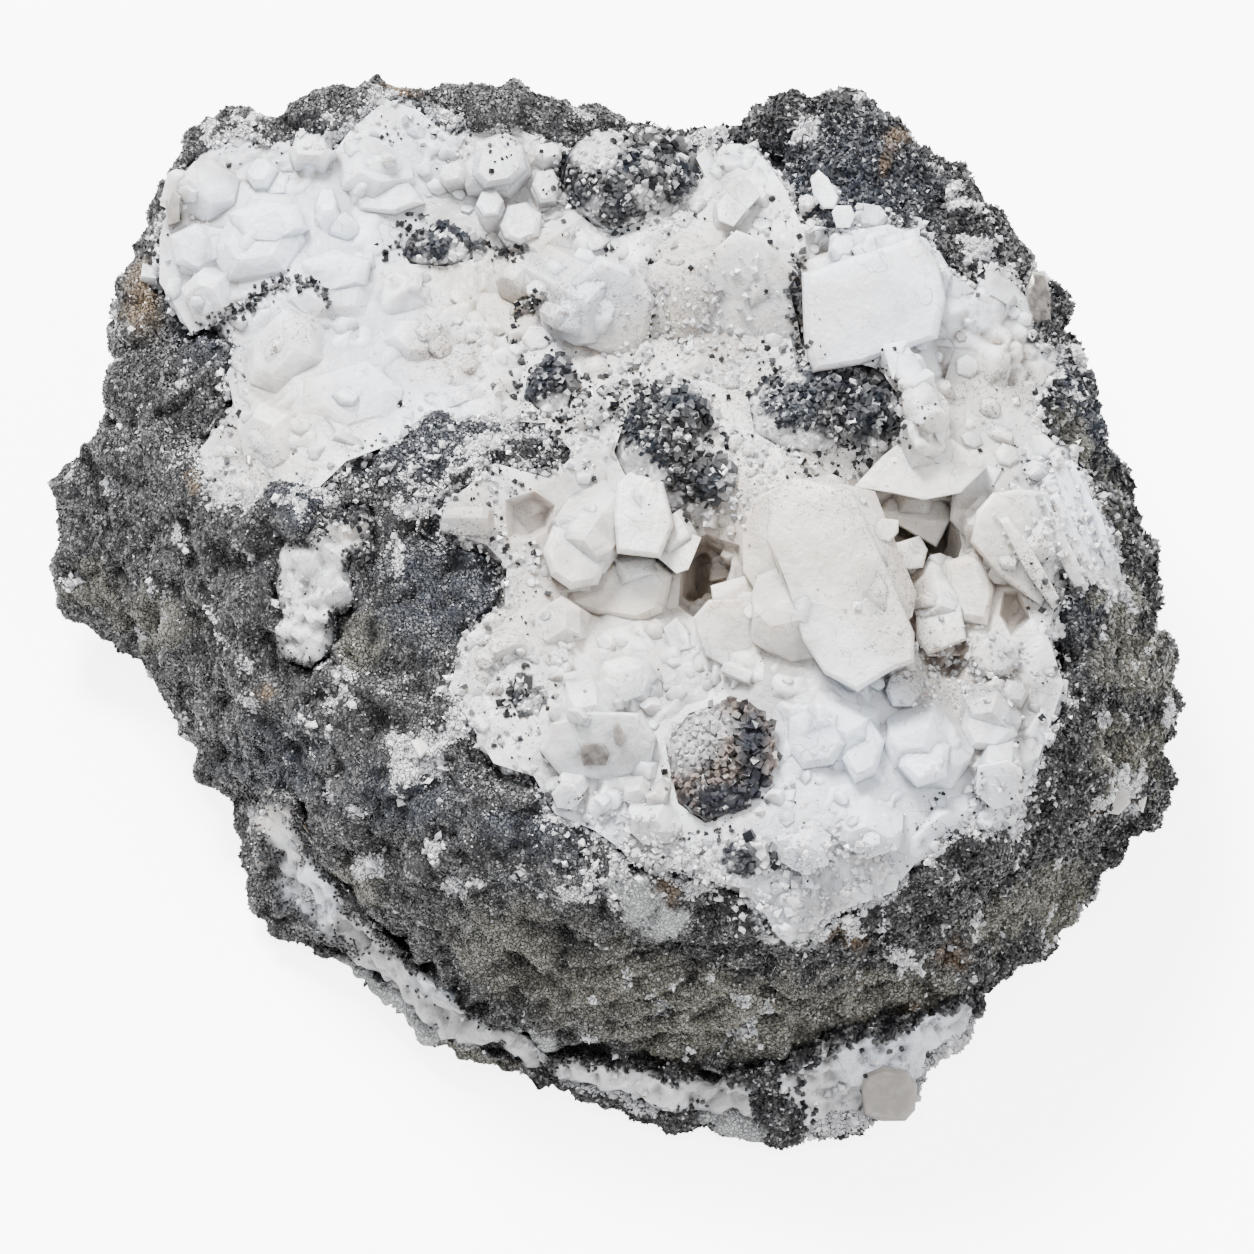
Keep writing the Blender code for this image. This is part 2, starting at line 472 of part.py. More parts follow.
def flank(rim, count):
    """The unseen sides under the rim: corners after the rim's own, their faces, and the base.

    They are laid out on a flat ring whose outer border stands for the rim and whose inner
    border stands for the edge of the base. count is how many corners the body has already.
    """
    smooth = rim[:, :2].copy()
    for _ in range(SOFTENINGS):
        smooth = (np.roll(smooth, 1, axis=0) + 2 * smooth + np.roll(smooth, -1, axis=0)) / 4
    normals = outward(smooth)
    middle = smooth.mean(axis=0)
    drops, back, front = np.array(FLANK_PROFILE).T
    breaks = []
    for facing, lean, inset in FLANK_BREAKS:
        facing, lean = math.radians(facing), math.radians(lean)
        level = np.array([math.cos(facing), math.sin(facing), 0])
        tilted = level * math.cos(lean) + np.array([0, 0, math.sin(lean)])
        middle_point = level * ((rim @ level).max() - inset) + np.array([0, 0, BREAK_MIDDLE])
        breaks.append((tilted, tilted @ middle_point))

    def place(along, drop):
        """A corner's place in space and on the flat ring; along is a point number of the rim."""
        i = int(along) % len(rim)
        j, part = (i + 1) % len(rim), along - int(along)
        edge, soft, normal = (row[i] + (row[j] - row[i]) * part for row in (rim, smooth, normals))
        behind = np.clip(normal[1], 0, 1)
        inset = behind * np.interp(drop, drops, back) + (1 - behind) * np.interp(drop, drops, front)
        point = edge[:2] + (soft - edge[:2]) * min(1.0, drop * 1.6) + normal * inset
        point = np.r_[point, edge[2] * (1 - drop)]
        swelling = lumps([point], FLANK_LUMP_SIZE, FLANK_LUMPS, 9.0)[0]
        swelling *= min(1.0, edge[2] / FULL_LUMPS_ABOVE)
        point[:2] += normal * swelling * min(1.0, drop * 4)
        for facing, reach in breaks:
            point[:2] -= facing[:2] * max(0.0, facing @ point - reach) * min(1.0, drop * 6)
        return point, middle + (soft - middle) * (1 - 0.55 * drop)

    around = round(np.linalg.norm(smooth - np.roll(smooth, 1, axis=0), axis=1).sum() / BASE_STEP)
    base = [place(k * len(rim) / around, 1.0) for k in range(around)]
    rim_flat = [place(k, 0.0)[1] for k in range(len(rim))]
    between = [place(k, RIM_FOLLOWED) for k in range(0, len(rim), 2)]
    taken = [*rim, *(point for point, _ in base + between)]
    for _ in range(FLANK_TRIES):
        point, flat = place(CHOICE.uniform(0, len(rim)), CHOICE.uniform(0.3, 0.9))
        if np.linalg.norm(np.array(taken) - point, axis=1).min() > FLANK_STEP * 0.8:
            taken.append(point)
            between.append((point, flat))
    faces = triangulate([np.array(rim_flat), np.array([flat for _, flat in base])],
                        [flat for _, flat in between])
    added = range(count, count + len(base) + len(between))
    number = [*range(len(rim)), *added]
    faces = [tuple(number[i] for i in reversed(face)) for face in faces]
    bottom = triangulate([np.array([point[:2] for point, _ in base])], [])
    faces += [tuple(count + i for i in reversed(face)) for face in bottom]
    return [Vector(point) for point in taken[len(rim):]], faces


def body_solid(loop, relief, white):
    """The whole specimen: the seen relief, and its unseen flanks down to the flat base."""
    inner = inner_points(loop, ROCK_STEP)
    seen = relief(inner)
    on_rock = ~is_inside(inner, white) | (edge_distance(inner, white) < 2)
    seen += np.where(on_rock, lumps(inner, ROCK_LUMP_SIZE, ROCK_LUMPS, 3.0), 0)
    edge_depth = np.maximum(relief(loop), depth_of_height(loop, [LOWEST_EDGE] * len(loop)))
    corners = [in_space(p, d) for p, d in zip(loop, edge_depth)]
    corners += [in_space(p, d) for p, d in zip(inner, seen)]
    rim = np.array([c[:] for c in corners[:len(loop)]])
    below, faces = flank(rim, len(corners))
    return corners + below, triangulate([loop], inner) + faces


def crystal_solid(crystal, relief, bed):
    """A six-sided prism with a blunt end, rooted in the crust and ending inside it."""
    point = on_picture([(crystal.x, crystal.y)])
    lean, toward = math.radians(crystal.lean), math.radians(crystal.toward)
    across = RIGHT * math.cos(toward) + UP * math.sin(toward)
    axis = TOWARD * math.cos(lean) + across * math.sin(lean)
    side = axis.cross(TOWARD if crystal.lean > 5 else UP).normalized()
    other = axis.cross(side)
    tip = in_space(point[0], relief(point)[0] + crystal.lift)
    room = relief(point)[0] + crystal.lift - bed(point)[0] - ROOT_CLEARANCE
    room -= crystal.width / 2 * math.sin(lean)
    length = min(crystal.length, room / math.cos(lean))
    turn = math.radians(crystal.turn)
    if crystal.dome > 0.6 and crystal.width > 7:
        rings = [(0, 0.5), (crystal.width * 0.11, 0.84), (crystal.width * 0.34, 1.0)]
    else:
        rings = [(0, 0.88 - 0.3 * crystal.dome), (crystal.width * (0.1 + 0.16 * crystal.dome), 1.0)]
    rings.append((length, 1.0))
    corners = []
    for back, scale in rings:
        for k in range(6):
            angle = math.tau * (k + 0.5) / 6 + 0.16 * math.sin(2.3 * k + crystal.x)
            wide = math.cos(angle) * crystal.width / 2 * scale
            narrow = math.sin(angle) * crystal.width / 2 * scale * crystal.flat
            corners.append(tip - axis * back
                           + side * (wide * math.cos(turn) - narrow * math.sin(turn))
                           + other * (wide * math.sin(turn) + narrow * math.cos(turn)))
    last = 6 * (len(rings) - 1)
    faces = [tuple(range(6)), tuple(reversed(range(last, last + 6)))]
    for ring in range(len(rings) - 1):
        for k in range(6):
            a, b = 6 * ring + k, 6 * ring + (k + 1) % 6
            faces.append((a, a + 6, b + 6, b))
    return corners, faces


def hollow_solid(pixels, depth, relief):
    """A cutter for a hollow: wide at the mouth, narrower at its floor."""
    loop = counter_clockwise(on_picture(pixels))
    middle = loop.mean(axis=0)
    level = relief(loop)
    corners = [in_space(p, d + 25) for p, d in zip(loop, level)]
    corners += [in_space(p, d) for p, d in zip(loop, level)]
    floor = middle + (loop - middle) * 0.62
    corners += [in_space(p, d - depth) for p, d in zip(floor, relief(floor))]
    count = len(loop)
    faces = [tuple(range(count)), tuple(reversed(range(2 * count, 3 * count)))]
    for ring in range(2):
        for k in range(count):
            a, b = count * ring + k, count * ring + (k + 1) % count
            faces.append((a, a + count, b + count, b))
    return corners, faces


def face_outward(corners, faces):
    """The faces, turned round if they enclose a negative volume."""
    volume = 0.0
    for face in faces:
        for k in range(1, len(face) - 1):
            a, b, c = corners[face[0]], corners[face[k]], corners[face[k + 1]]
            volume += a.dot(b.cross(c))
    return faces if volume > 0 else [tuple(reversed(face)) for face in faces]


def build():
    for old in list(bpy.data.objects):
        bpy.data.objects.remove(old, do_unlink=True)

    outline = counter_clockwise(on_picture(OUTLINE_PX))
    crust_loop = counter_clockwise(resample(on_picture(CRUST_PX), CRUST_STEP))
    heights = OUTLINE_HEIGHTS + TOP_HEIGHTS + FLANK_HEIGHTS
    spots = on_picture(heights)
    relief = fit_relief(np.c_[spots, depth_of_height(spots, [h for _, _, h in heights])])

    # the rock, before its beds for the crust, the vein and the patches are cut
    rock = add_solid("matrix_rock", *body_solid(outline, relief, crust_loop),
                     make_material("matrix_rock"))

    def far(points):
        return np.full(len(points), ABOVE_ALL)

    # the crust: a thick white mass in a bed of the rock
    def crust_top(points):
        return relief(points) + lumps(points, CRUST_LUMP_SIZE, CRUST_LUMPS, 5.0)

    def crust_bed(points):
        reach = np.clip(edge_distance(points, crust_loop) / CRUST_FEATHER, 0, 1)
        return relief(points) - CRUST_EDGE - (CRUST_HEART - CRUST_EDGE) * reach

    top_inner = inner_points(crust_loop, CRUST_STEP)
    bed_inner = inner_points(crust_loop, BED_STEP)
    crust = add_solid("crystal_crust", *slab(crust_loop, crust_top, crust_bed, top_inner,
                                             bed_inner), make_material("crystal_crust"))
    clip = add_solid("crust_limit", *slab(crust_loop, far, crust_bed, [], bed_inner,
                                          grow=0.1, drop=0.1))
    bed = add_solid("crust_bed", *slab(crust_loop, far, crust_bed, [], bed_inner,
                                       grow=FIT_GAP, drop=FIT_GAP + 0.1))
    rock_cutters = [bed]
    hollows = []
    for number, (pixels, depth) in enumerate(HOLLOWS):
        corners, faces = hollow_solid(pixels, depth, relief)
        hollows.append(add_solid(f"hollow_{number}", corners, face_outward(corners, faces)))
    crystals = []
    for number, crystal in enumerate(CRYSTALS):
        corners, faces = crystal_solid(crystal, relief, crust_bed)
        crystals.append(add_solid(f"crystal_{number}", corners, face_outward(corners, faces)))
    combine(crust, "DIFFERENCE", hollows, "hollows")
    combine(crust, "UNION", crystals, "crystals")
    combine(crust, "INTERSECT", [clip], "crust_limit")

    # the vein along the foot, and the small pocket of calcite in the dark ridge
    for name, pixels in (("calcite_vein", VEIN_PX), ("calcite_pocket", CALCITE_POCKET_PX)):
        loop = counter_clockwise(resample(on_picture(pixels), VEIN_BORDER_STEP))

        def vein_floor(points):
            inward = np.minimum(edge_distance(points, loop) / VEIN_FEATHER, 1)
            return relief(points) - VEIN_EDGE - (VEIN_HEART - VEIN_EDGE) * inward

        inner = inner_points(loop, VEIN_STEP)
        bottom_inner = inner_points(loop, VEIN_FLOOR_STEP)

        def seen(points):
            return relief(points) + PROUD + lumps(points, VEIN_LUMP_SIZE, VEIN_LUMPS, 7.0)

        add_solid(name, *slab(loop, seen, vein_floor, inner, bottom_inner), make_material(name))
        rock_cutters.append(add_solid(f"{name}_bed", *slab(
            loop, far, vein_floor, [], bottom_inner, grow=FIT_GAP, drop=FIT_GAP)))

    # druse patches rooted in the crust
    druse = make_material("druse")
    pockets = []
    for name, rise, pixels in PATCHES:
        loop = counter_clockwise(resample(on_picture(pixels), PATCH_BORDER_STEP))
        inner = inner_points(loop, PATCH_STEP)
        bottom_inner = inner_points(loop, VEIN_FLOOR_STEP)
        reach = edge_distance(inner, loop).max() if len(inner) else 1.0

        def dome(points):
            inward = np.clip(edge_distance(points, loop) / reach, 0, 1)
            swell = rise * (1 - (1 - inward) ** 2) + PROUD
            return relief(points) + swell + lumps(points, PATCH_LUMP_SIZE, PATCH_LUMPS, 4.0)

        def root(points):
            return relief(points) - PATCH_SINK

        add_solid(name, *slab(loop, dome, root, inner, bottom_inner), druse)
        pockets.append(add_solid(f"{name}_pocket", *slab(
            loop, far, root, [], bottom_inner, grow=FIT_GAP, drop=FIT_GAP)))
    combine(crust, "DIFFERENCE", pockets, "pockets")
    for pocket in pockets:
        copy = bpy.data.objects.new(f"{pocket.name}_in_rock", pocket.data)
        bpy.context.scene.collection.objects.link(copy)
        copy.hide_render = True
        copy.display_type = "WIRE"
        rock_cutters.append(copy)
    combine(rock, "DIFFERENCE", rock_cutters, "beds")

    # everything stands centred over the origin
    stand = bpy.data.objects.new("specimen", None)
    bpy.context.scene.collection.objects.link(stand)
    spread = np.array([v.co[:] for v in rock.data.vertices])
    middle = (spread.min(axis=0) + spread.max(axis=0)) / 2
    stand.location = (-middle[0], -middle[1], 0)
    for solid in bpy.data.objects:
        if solid is not stand:
            solid.parent = stand


build()
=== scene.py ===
"""Tarnowitzite specimen: milky white crystals over dark, granular, sulphide-bearing rock.

The sections follow the specimen from the rock outward: the rock, its grains, the white crust,
the galena specks and druse patches on it, the sphalerite patch, the calcite vein and pocket, the
glassy crystals, the sugary crumbs, then the table it rests on, the lights and the camera. Mesh
work is done in millimetres and stored in metres.
"""

import itertools
import math

import bpy
import numpy as np
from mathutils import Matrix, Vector
from mathutils.bvhtree import BVHTree
from mathutils.kdtree import KDTree


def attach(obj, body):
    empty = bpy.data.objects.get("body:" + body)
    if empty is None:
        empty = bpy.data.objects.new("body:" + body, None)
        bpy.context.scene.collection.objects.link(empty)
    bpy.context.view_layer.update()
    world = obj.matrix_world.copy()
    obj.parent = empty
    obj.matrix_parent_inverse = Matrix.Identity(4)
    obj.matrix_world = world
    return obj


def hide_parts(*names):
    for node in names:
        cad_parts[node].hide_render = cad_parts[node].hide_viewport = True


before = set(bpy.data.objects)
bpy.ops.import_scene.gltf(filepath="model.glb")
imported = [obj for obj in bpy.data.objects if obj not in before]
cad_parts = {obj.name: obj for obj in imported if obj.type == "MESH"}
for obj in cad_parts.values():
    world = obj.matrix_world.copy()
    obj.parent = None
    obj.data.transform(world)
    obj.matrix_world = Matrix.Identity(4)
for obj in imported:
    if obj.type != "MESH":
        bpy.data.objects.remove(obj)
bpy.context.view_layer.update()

# Matrix rock
# The host rock is a tight mass of dark sulphide grains in grey carbonate. It broke unevenly:
# lumps and pits all over, thin ledges along the foot, and a groove above the white vein.
ROCK_GRAIN = 0.6         # spacing of the surface's points, mm
CONTACT = 0.7            # mm; nearer than this, one piece hides the other
WHOLE_BORDER = 4         # rows of points round a hidden place that are kept whole
HIDDEN_SHARE = 0.12      # share of the faces kept where one piece hides another
UNDERSIDE = 0.15         # mm; the rock below this rests on the table
FADE_HEIGHT = 1.5        # mm above the table in which the rock's relief begins
PICTURE_MIDDLE = np.array([1.5, 9.3, 0.0])   # what the photograph's middle shows, mm
MIDDLE_PX = 627          # its pixel, from the left and from the top
PX = 10.0                # pixels of the photograph to a millimetre
ELEVATION = math.radians(60)                 # how steeply the photograph looks down
PICTURE_UP = np.array([0.0, math.sin(ELEVATION), math.cos(ELEVATION)])
TOWARD_VIEWER = np.array([0.0, -math.cos(ELEVATION), math.sin(ELEVATION)])

# Where carbonate, olive or rusty stain and blue-grey galena show on the rock. Each spot is a
# pixel, its half width and half height in pixels and, where it leans, its tilt in degrees.
WHITE_ON_ROCK = [
    (402, 118, 26, 26, 60), (445, 128, 26, 20), (240, 140, 34, 12, 20), (422, 752, 36, 26, 20),
    (452, 870, 14, 15), (580, 884, 20, 17), (349, 692, 17, 11), (315, 898, 32, 18, -40),
    (272, 825, 14, 30, -10), (830, 925, 24, 12), (740, 870, 50, 14), (905, 860, 36, 14, 35),
    (975, 815, 40, 16, 20), (1000, 770, 26, 30), (1040, 700, 26, 40), (1108, 552, 8, 12, 20),
    (715, 140, 34, 14), (640, 160, 22, 14), (800, 120, 14, 18), (1035, 275, 12, 26, -20),
    (985, 255, 22, 24), (1113, 796, 22, 18), (745, 1010, 16, 10), (910, 960, 16, 12),
    (300, 640, 10, 12), (225, 500, 20, 14), (300, 500, 16, 10, 20), (500, 440, 36, 12, 20),
    (455, 470, 26, 10, 30), (560, 800, 30, 12, -30), (500, 760, 14, 10), (200, 300, 8, 10),
]
WHITE_AREAS = [          # outlines of the white calcite, in pixels
    [(286, 553), (290, 549), (314, 547), (331, 523), (353, 519), (373, 521), (369, 549), (345, 551),
     (345, 570), (361, 582), (355, 598), (333, 611), (333, 633), (326, 649), (324, 662), (306, 664),
     (290, 658), (280, 627), (282, 596)],
    [(777, 1071), (805, 1063), (841, 1043), (886, 1035), (930, 1011), (962, 999), (980, 1015),
     (1000, 1030), (974, 1060), (955, 1080), (930, 1100), (914, 1125), (861, 1127), (833, 1131),
     (805, 1139), (797, 1111), (781, 1087)],
    [(259, 812), (270, 805), (288, 808), (294, 822), (303, 856), (296, 868), (280, 852),
     (266, 838)],
    [(284, 871), (291, 859), (309, 863), (328, 881), (342, 905), (338, 915), (331, 932), (314, 922),
     (294, 902)],
    [(409, 979), (423, 972), (446, 988), (458, 1000), (440, 1004), (419, 997)],
    [(558, 1067), (602, 1064), (653, 1074), (680, 1081), (703, 1105), (669, 1110), (629, 1099),
     (585, 1091), (560, 1081)],
]
GLASSY_AREAS = [         # outlines of the clear and greyish calcite, in pixels
    [(355, 962), (358, 949), (375, 946), (399, 963), (409, 979), (420, 1000), (400, 1030),
     (370, 1020), (330, 980), (340, 955)],
    [(392, 1000), (419, 998), (453, 1000), (480, 1020), (494, 1034), (487, 1047), (446, 1040),
     (430, 1056), (390, 1040)],
    [(494, 1027), (521, 1027), (555, 1050), (538, 1071), (517, 1061), (500, 1040)],
    [(680, 1081), (757, 1084), (760, 1125), (742, 1150), (710, 1135), (700, 1105)],
    [(338, 913), (365, 930), (395, 952), (375, 950), (345, 940)],
    [(757, 905), (775, 878), (821, 880), (845, 905), (818, 925), (790, 945), (765, 935)],
    [(600, 870), (640, 878), (690, 905), (690, 928), (660, 940), (625, 926), (605, 900)],
]
OLIVE_ON_ROCK = [
    (360, 880, 30, 18, -40), (620, 990, 90, 40, -5), (740, 1010, 80, 40), (520, 950, 60, 40, -20),
    (850, 1000, 40, 24), (1000, 925, 30, 20, 20), (90, 590, 30, 20), (160, 620, 30, 24),
    (360, 640, 24, 20), (480, 1066, 44, 12, -10), (560, 985, 60, 20, -10), (700, 1035, 60, 20),
    (1136, 655, 30, 34, 20), (1110, 580, 18, 60, 20), (1075, 470, 20, 44, 20), (1130, 760, 30, 30),
    (1060, 900, 40, 30, 30), (900, 985, 50, 16, 10),
]
RUST_ON_ROCK = [
    (265, 687, 9, 5, 20), (420, 516, 12, 6, -30), (198, 486, 6, 10), (900, 138, 10, 12),
    (887, 160, 5, 9), (667, 885, 12, 16), (849, 936, 20, 8), (951, 952, 14, 10), (142, 300, 14, 34),
    (808, 228, 14, 10), (790, 205, 10, 14), (400, 88, 18, 8), (1096, 804, 8, 10),
    (915, 1010, 10, 8), (640, 850, 16, 8), (1024, 420, 7, 9),
]
BLUE_ON_ROCK = [
    (430, 440, 70, 30, 25), (540, 415, 50, 24), (470, 560, 50, 50), (850, 190, 70, 60),
    (450, 590, 60, 50), (300, 500, 30, 30), (1085, 600, 40, 50), (400, 800, 60, 30),
    (210, 330, 40, 30), (530, 840, 40, 30), (1080, 420, 30, 40), (280, 760, 40, 40),
]
GROOVE = [(299, 853), (331, 892), (375, 929), (419, 956), (446, 979), (460, 1010), (480, 1023),
          (517, 1028), (555, 1050), (602, 1057), (649, 1067), (717, 1080), (770, 1066), (830, 1040),
          (886, 1026), (930, 1003), (962, 992), (985, 988)]
GROOVE_DEPTH = 0.8       # mm
GROOVE_HALF = 0.42       # half of its width, mm
LEDGES = [(600, 1000, 330, 60), (880, 980, 110, 60, 10)]   # where thin ledges run
LEDGE_STEP_PX = 28       # pixels from one ledge to the next
LEDGE_WANDER_PX = 26     # how far one wanders up and down
LEDGE_SLOPE = 0.12       # how steeply they rise to the right
LEDGE_RELIEF = 1.8       # mm


def pixels_of(points):
    """Pixels of the photograph at which points in space are seen."""
    from_middle = points - PICTURE_MIDDLE
    return np.c_[MIDDLE_PX + PX * from_middle[:, 0],
                 MIDDLE_PX - PX * (from_middle @ PICTURE_UP)]


def unit(values):
    """Values kept between 0 and 1."""
    return np.clip(values, 0, 1)


def blots(pixels, spots):
    """How far inside soft oval spots pixels lie.

    It is 1 within half of a spot's size and falls to 0 at one and a half times it."""
    inside = np.zeros(len(pixels))
    for x, y, wide, high, *tilt in spots:
        turn = math.radians(tilt[0] if tilt else 0)
        across, up = pixels[:, 0] - x, y - pixels[:, 1]
        along = (across * math.cos(turn) + up * math.sin(turn)) / wide
        athwart = (up * math.cos(turn) - across * math.sin(turn)) / high
        inside = np.maximum(inside, unit(1.5 - np.hypot(along, athwart)))
    return inside


def along_line(pixels, line):
    """Distance in millimetres from pixels to a line drawn through pixels."""
    start, end = np.array(line[:-1], float), np.array(line[1:], float)
    side = end - start
    along = np.einsum("psk,sk->ps", pixels[:, None] - start, side) / np.sum(side ** 2, axis=1)
    nearest = start + unit(along)[:, :, None] * side
    return np.linalg.norm(pixels[:, None] - nearest, axis=2).min(axis=1) / PX


def inside_outline(pixels, outline):
    """How far inside an outline pixels lie, in millimetres, less than 0 outside."""
    outline = np.array(outline, float)
    after = np.roll(outline, -1, axis=0)
    crossed = (outline[:, 1] > pixels[:, 1:]) != (after[:, 1] > pixels[:, 1:])
    rise = np.where(after[:, 1] == outline[:, 1], 1e-9, after[:, 1] - outline[:, 1])
    meets = outline[:, 0] + (pixels[:, 1:] - outline[:, 1]) * (after[:, 0] - outline[:, 0]) / rise
    within = np.sum(crossed & (pixels[:, :1] < meets), axis=1) % 2
    return np.where(within, 1, -1) * along_line(pixels, [*outline, outline[0]])


def within_any(pixels, outlines):
    """1 inside any of the outlines and 0 outside, with a soft border."""
    return np.max([unit(0.5 + inside_outline(pixels, outline) / 0.6)
                   for outline in outlines], axis=0)


def chance(places, seed):
    """An even random number, 0 to 1, for each whole-number place, mixed by large primes."""
    mixed = places[..., 0] * 73856093 ^ places[..., 1] * 19349663 ^ places[..., 2] * 83492791
    mixed = (mixed ^ (seed * 40503 + 977)) * 668265263 & 0xFFFFFFFF
    mixed = (mixed ^ mixed >> 15) * 2246822519 & 0xFFFFFFFF
    mixed = (mixed ^ mixed >> 13) * 3266489917 & 0xFFFFFFFF
    return (mixed ^ mixed >> 16) / 0xFFFFFFFF


def chances(places, seed):
    """Three such numbers for each place."""
    return np.stack([chance(places, seed + axis) for axis in range(3)], axis=1)


def swells(points, size, seed, octaves=1):
    """Smooth random swellings about size across, -1 to 1, each octave half as wide and high."""
    total = np.zeros(len(points))
    for octave in range(octaves):
        place = points * (2 ** octave / size) + 31.7    # off the model's own axes
        corner = np.floor(place).astype(np.int64)
        part = place - corner
        part = part * part * (3 - 2 * part)
        for step in itertools.product((0, 1), repeat=3):
            weight = np.prod(np.where(step, part, 1 - part), axis=1)
            total += weight * (2 * chance(corner + step, seed + octave) - 1) * 0.5 ** octave
    return total


def swayed(points, size, reach, seed):
    """The points moved about by up to reach, neighbours together."""
    moves = [swells(points, size, seed + axis) for axis in range(3)]
    return points + reach * np.stack(moves, axis=1)


def ragged_shift(points, size, reach_px, seeds=(61, 71)):
    """Shifts in pixels, neighbours together, that make the border of a spot ragged."""
    return reach_px * np.stack([swells(points, size, seed, 3) for seed in seeds], axis=1)


def cells_around(place):
    """The cell that each place lies in and the 26 round it, one after the other."""
    corner = np.floor(place).astype(np.int64)
    for step in itertools.product((-1, 0, 1), repeat=3):
        yield corner + step


def pebbles(points, size, seed):
    """Distances to the nearest two of random centres, in sizes."""
    place = points / size
    near, second = np.full(len(points), np.inf), np.full(len(points), np.inf)
    for cell in cells_around(place):
        centre = cell + chances(cell, seed)
        away = np.linalg.norm(place - centre, axis=1)
        second = np.where(away < near, near, np.minimum(second, away))
        near = np.minimum(near, away)
    return near, second


def blocks(points, size, seed):
    """Heights, about -1 to 1, of flat tilted facets, one for each of random cells of a size."""
    place = points / size
    near, height = np.full(len(points), np.inf), np.zeros(len(points))
    for cell in cells_around(place):
        away = place - cell - chances(cell, seed)
        tilt = chances(cell, seed + 5) - 0.5
        distance = np.linalg.norm(away, axis=1)
        level = chance(cell, seed + 9) - 0.5 + 2 * np.sum(away * tilt, axis=1)
        height = np.where(distance < near, level, height)
        near = np.minimum(near, distance)
    return height


class Surface:
    """A mesh as arrays in millimetres, to be shaped point by point."""

    def __init__(self, points, faces):
        self.points = points
        self.faces = faces
        pairs = np.sort(faces[:, [0, 1, 1, 2, 2, 0]].reshape(-1, 2), axis=1)
        edges = np.unique(pairs[:, 0] * len(points) + pairs[:, 1])
        self.edges = np.stack([edges // len(points), edges % len(points)])

    def face_turns(self):
        """Each face's outward direction, as long as twice its area."""
        a, b, c = (self.points[self.faces[:, k]] for k in range(3))
        return np.cross(b - a, c - a)

    def normals(self):
        """Each point's outward direction."""
        corners, count = self.faces.ravel(), len(self.points)
        turns = np.repeat(self.face_turns(), 3, axis=0)
        total = np.stack([np.bincount(corners, turn, count) for turn in turns.T], axis=1)
        return total / np.maximum(np.linalg.norm(total, axis=1), 1e-12)[:, None]

    def averaged(self, values):
        """The mean of each point's neighbours."""
        start, end = self.edges
        count = len(self.points)
        total = np.stack([np.bincount(start, value[end], count)
                          + np.bincount(end, value[start], count)
                          for value in values.T], axis=1)
        neighbours = np.bincount(self.edges.ravel(), minlength=count)
        return total / np.maximum(neighbours, 1)[:, None]

    def relax(self, passes, share=1.0):
        """Smooths the surface; share says how strongly at each point, 0 to 1."""
        share = np.broadcast_to(share, len(self.points))[:, None]
        for _ in range(passes):
            for step in (0.6, -0.1):    # in, then a little out, so that the form shrinks less
                moved = self.averaged(self.points) - self.points
                self.points = self.points + step * share * moved

    def hollowness(self, passes):
        """How far each point lies below the smoothed surface round it, in millimetres."""
        smooth = self.points
        for _ in range(passes):
            smooth = smooth + 0.9 * (self.averaged(smooth) - smooth)
        return np.sum((smooth - self.points) * self.normals(), axis=1)

    def nearness(self, node, reach):
        """1 where the surface meets a CAD solid, falling to 0 at reach millimetres from it."""
        tree = tree_of(solid_of(node))
        away = np.array([tree.find_nearest(Vector(point))[3] for point in self.points])
        return unit(1 - away / reach)

    def covered(self, node):
        """Points that lie against a CAD solid, all but a border, where nothing sees them."""
        close = (self.nearness(node, CONTACT) > 0).astype(float)
        for _ in range(WHOLE_BORDER):
            close = np.where(self.averaged(close[:, None])[:, 0] > 0.99, close, 0.0)
        return close > 0.5


def joined(surfaces):
    """Surfaces as one, without fusing them."""
    first = np.cumsum([0] + [len(surface.points) for surface in surfaces])
    faces = [surface.faces + start for surface, start in zip(surfaces, first)]
    return Surface(np.concatenate([surface.points for surface in surfaces]), np.concatenate(faces))


def new_object(name, data):
    """An object of the scene, made from a mesh, a lamp or a camera."""
    made = bpy.data.objects.new(name, data)
    bpy.context.scene.collection.objects.link(made)
    return made


def shaped_mesh(blank):
    """An object's mesh as its modifiers leave it."""
    shaped = blank.evaluated_get(bpy.context.evaluated_depsgraph_get())
    return bpy.data.meshes.new_from_object(shaped)


def modified(surface, *modifiers):
    """A surface after modifiers, each a kind with its settings."""
    mesh = bpy.data.meshes.new("modified")
    mesh.from_pydata(surface.points.tolist(), [], surface.faces.tolist())
    blank = new_object("modified", mesh)
    for kind, settings in modifiers:
        modifier = blank.modifiers.new(kind, kind)
        for name, value in settings.items():
            setattr(modifier, name, value)
    made = shaped_mesh(blank)
    made.calc_loop_triangles()
    points = np.empty(len(made.vertices) * 3)
    made.vertices.foreach_get("co", points)
    faces = np.empty(len(made.loop_triangles) * 3, dtype=np.int64)
    made.loop_triangles.foreach_get("vertices", faces)
    for leftover in (mesh, made):
        bpy.data.meshes.remove(leftover)
    return Surface(points.reshape(-1, 3), faces.reshape(-1, 3))


def even_surface(surface, spacing):
    """Closed surfaces fused into one with points about spacing apart."""
    return modified(surface, ("REMESH", {"mode": "VOXEL", "voxel_size": spacing}))


def solid_of(node):
    """A CAD node as a surface in millimetres."""
    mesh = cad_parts[node].data
    mesh.calc_loop_triangles()
    points = np.array([1000 * vertex.co for vertex in mesh.vertices])
    return Surface(points, np.array([triangle.vertices for triangle in mesh.loop_triangles]))


def tree_of(surface):
    """A surface to be searched for its nearest place or where a ray meets it."""
    return BVHTree.FromPolygons(surface.points.tolist(), surface.faces.tolist())


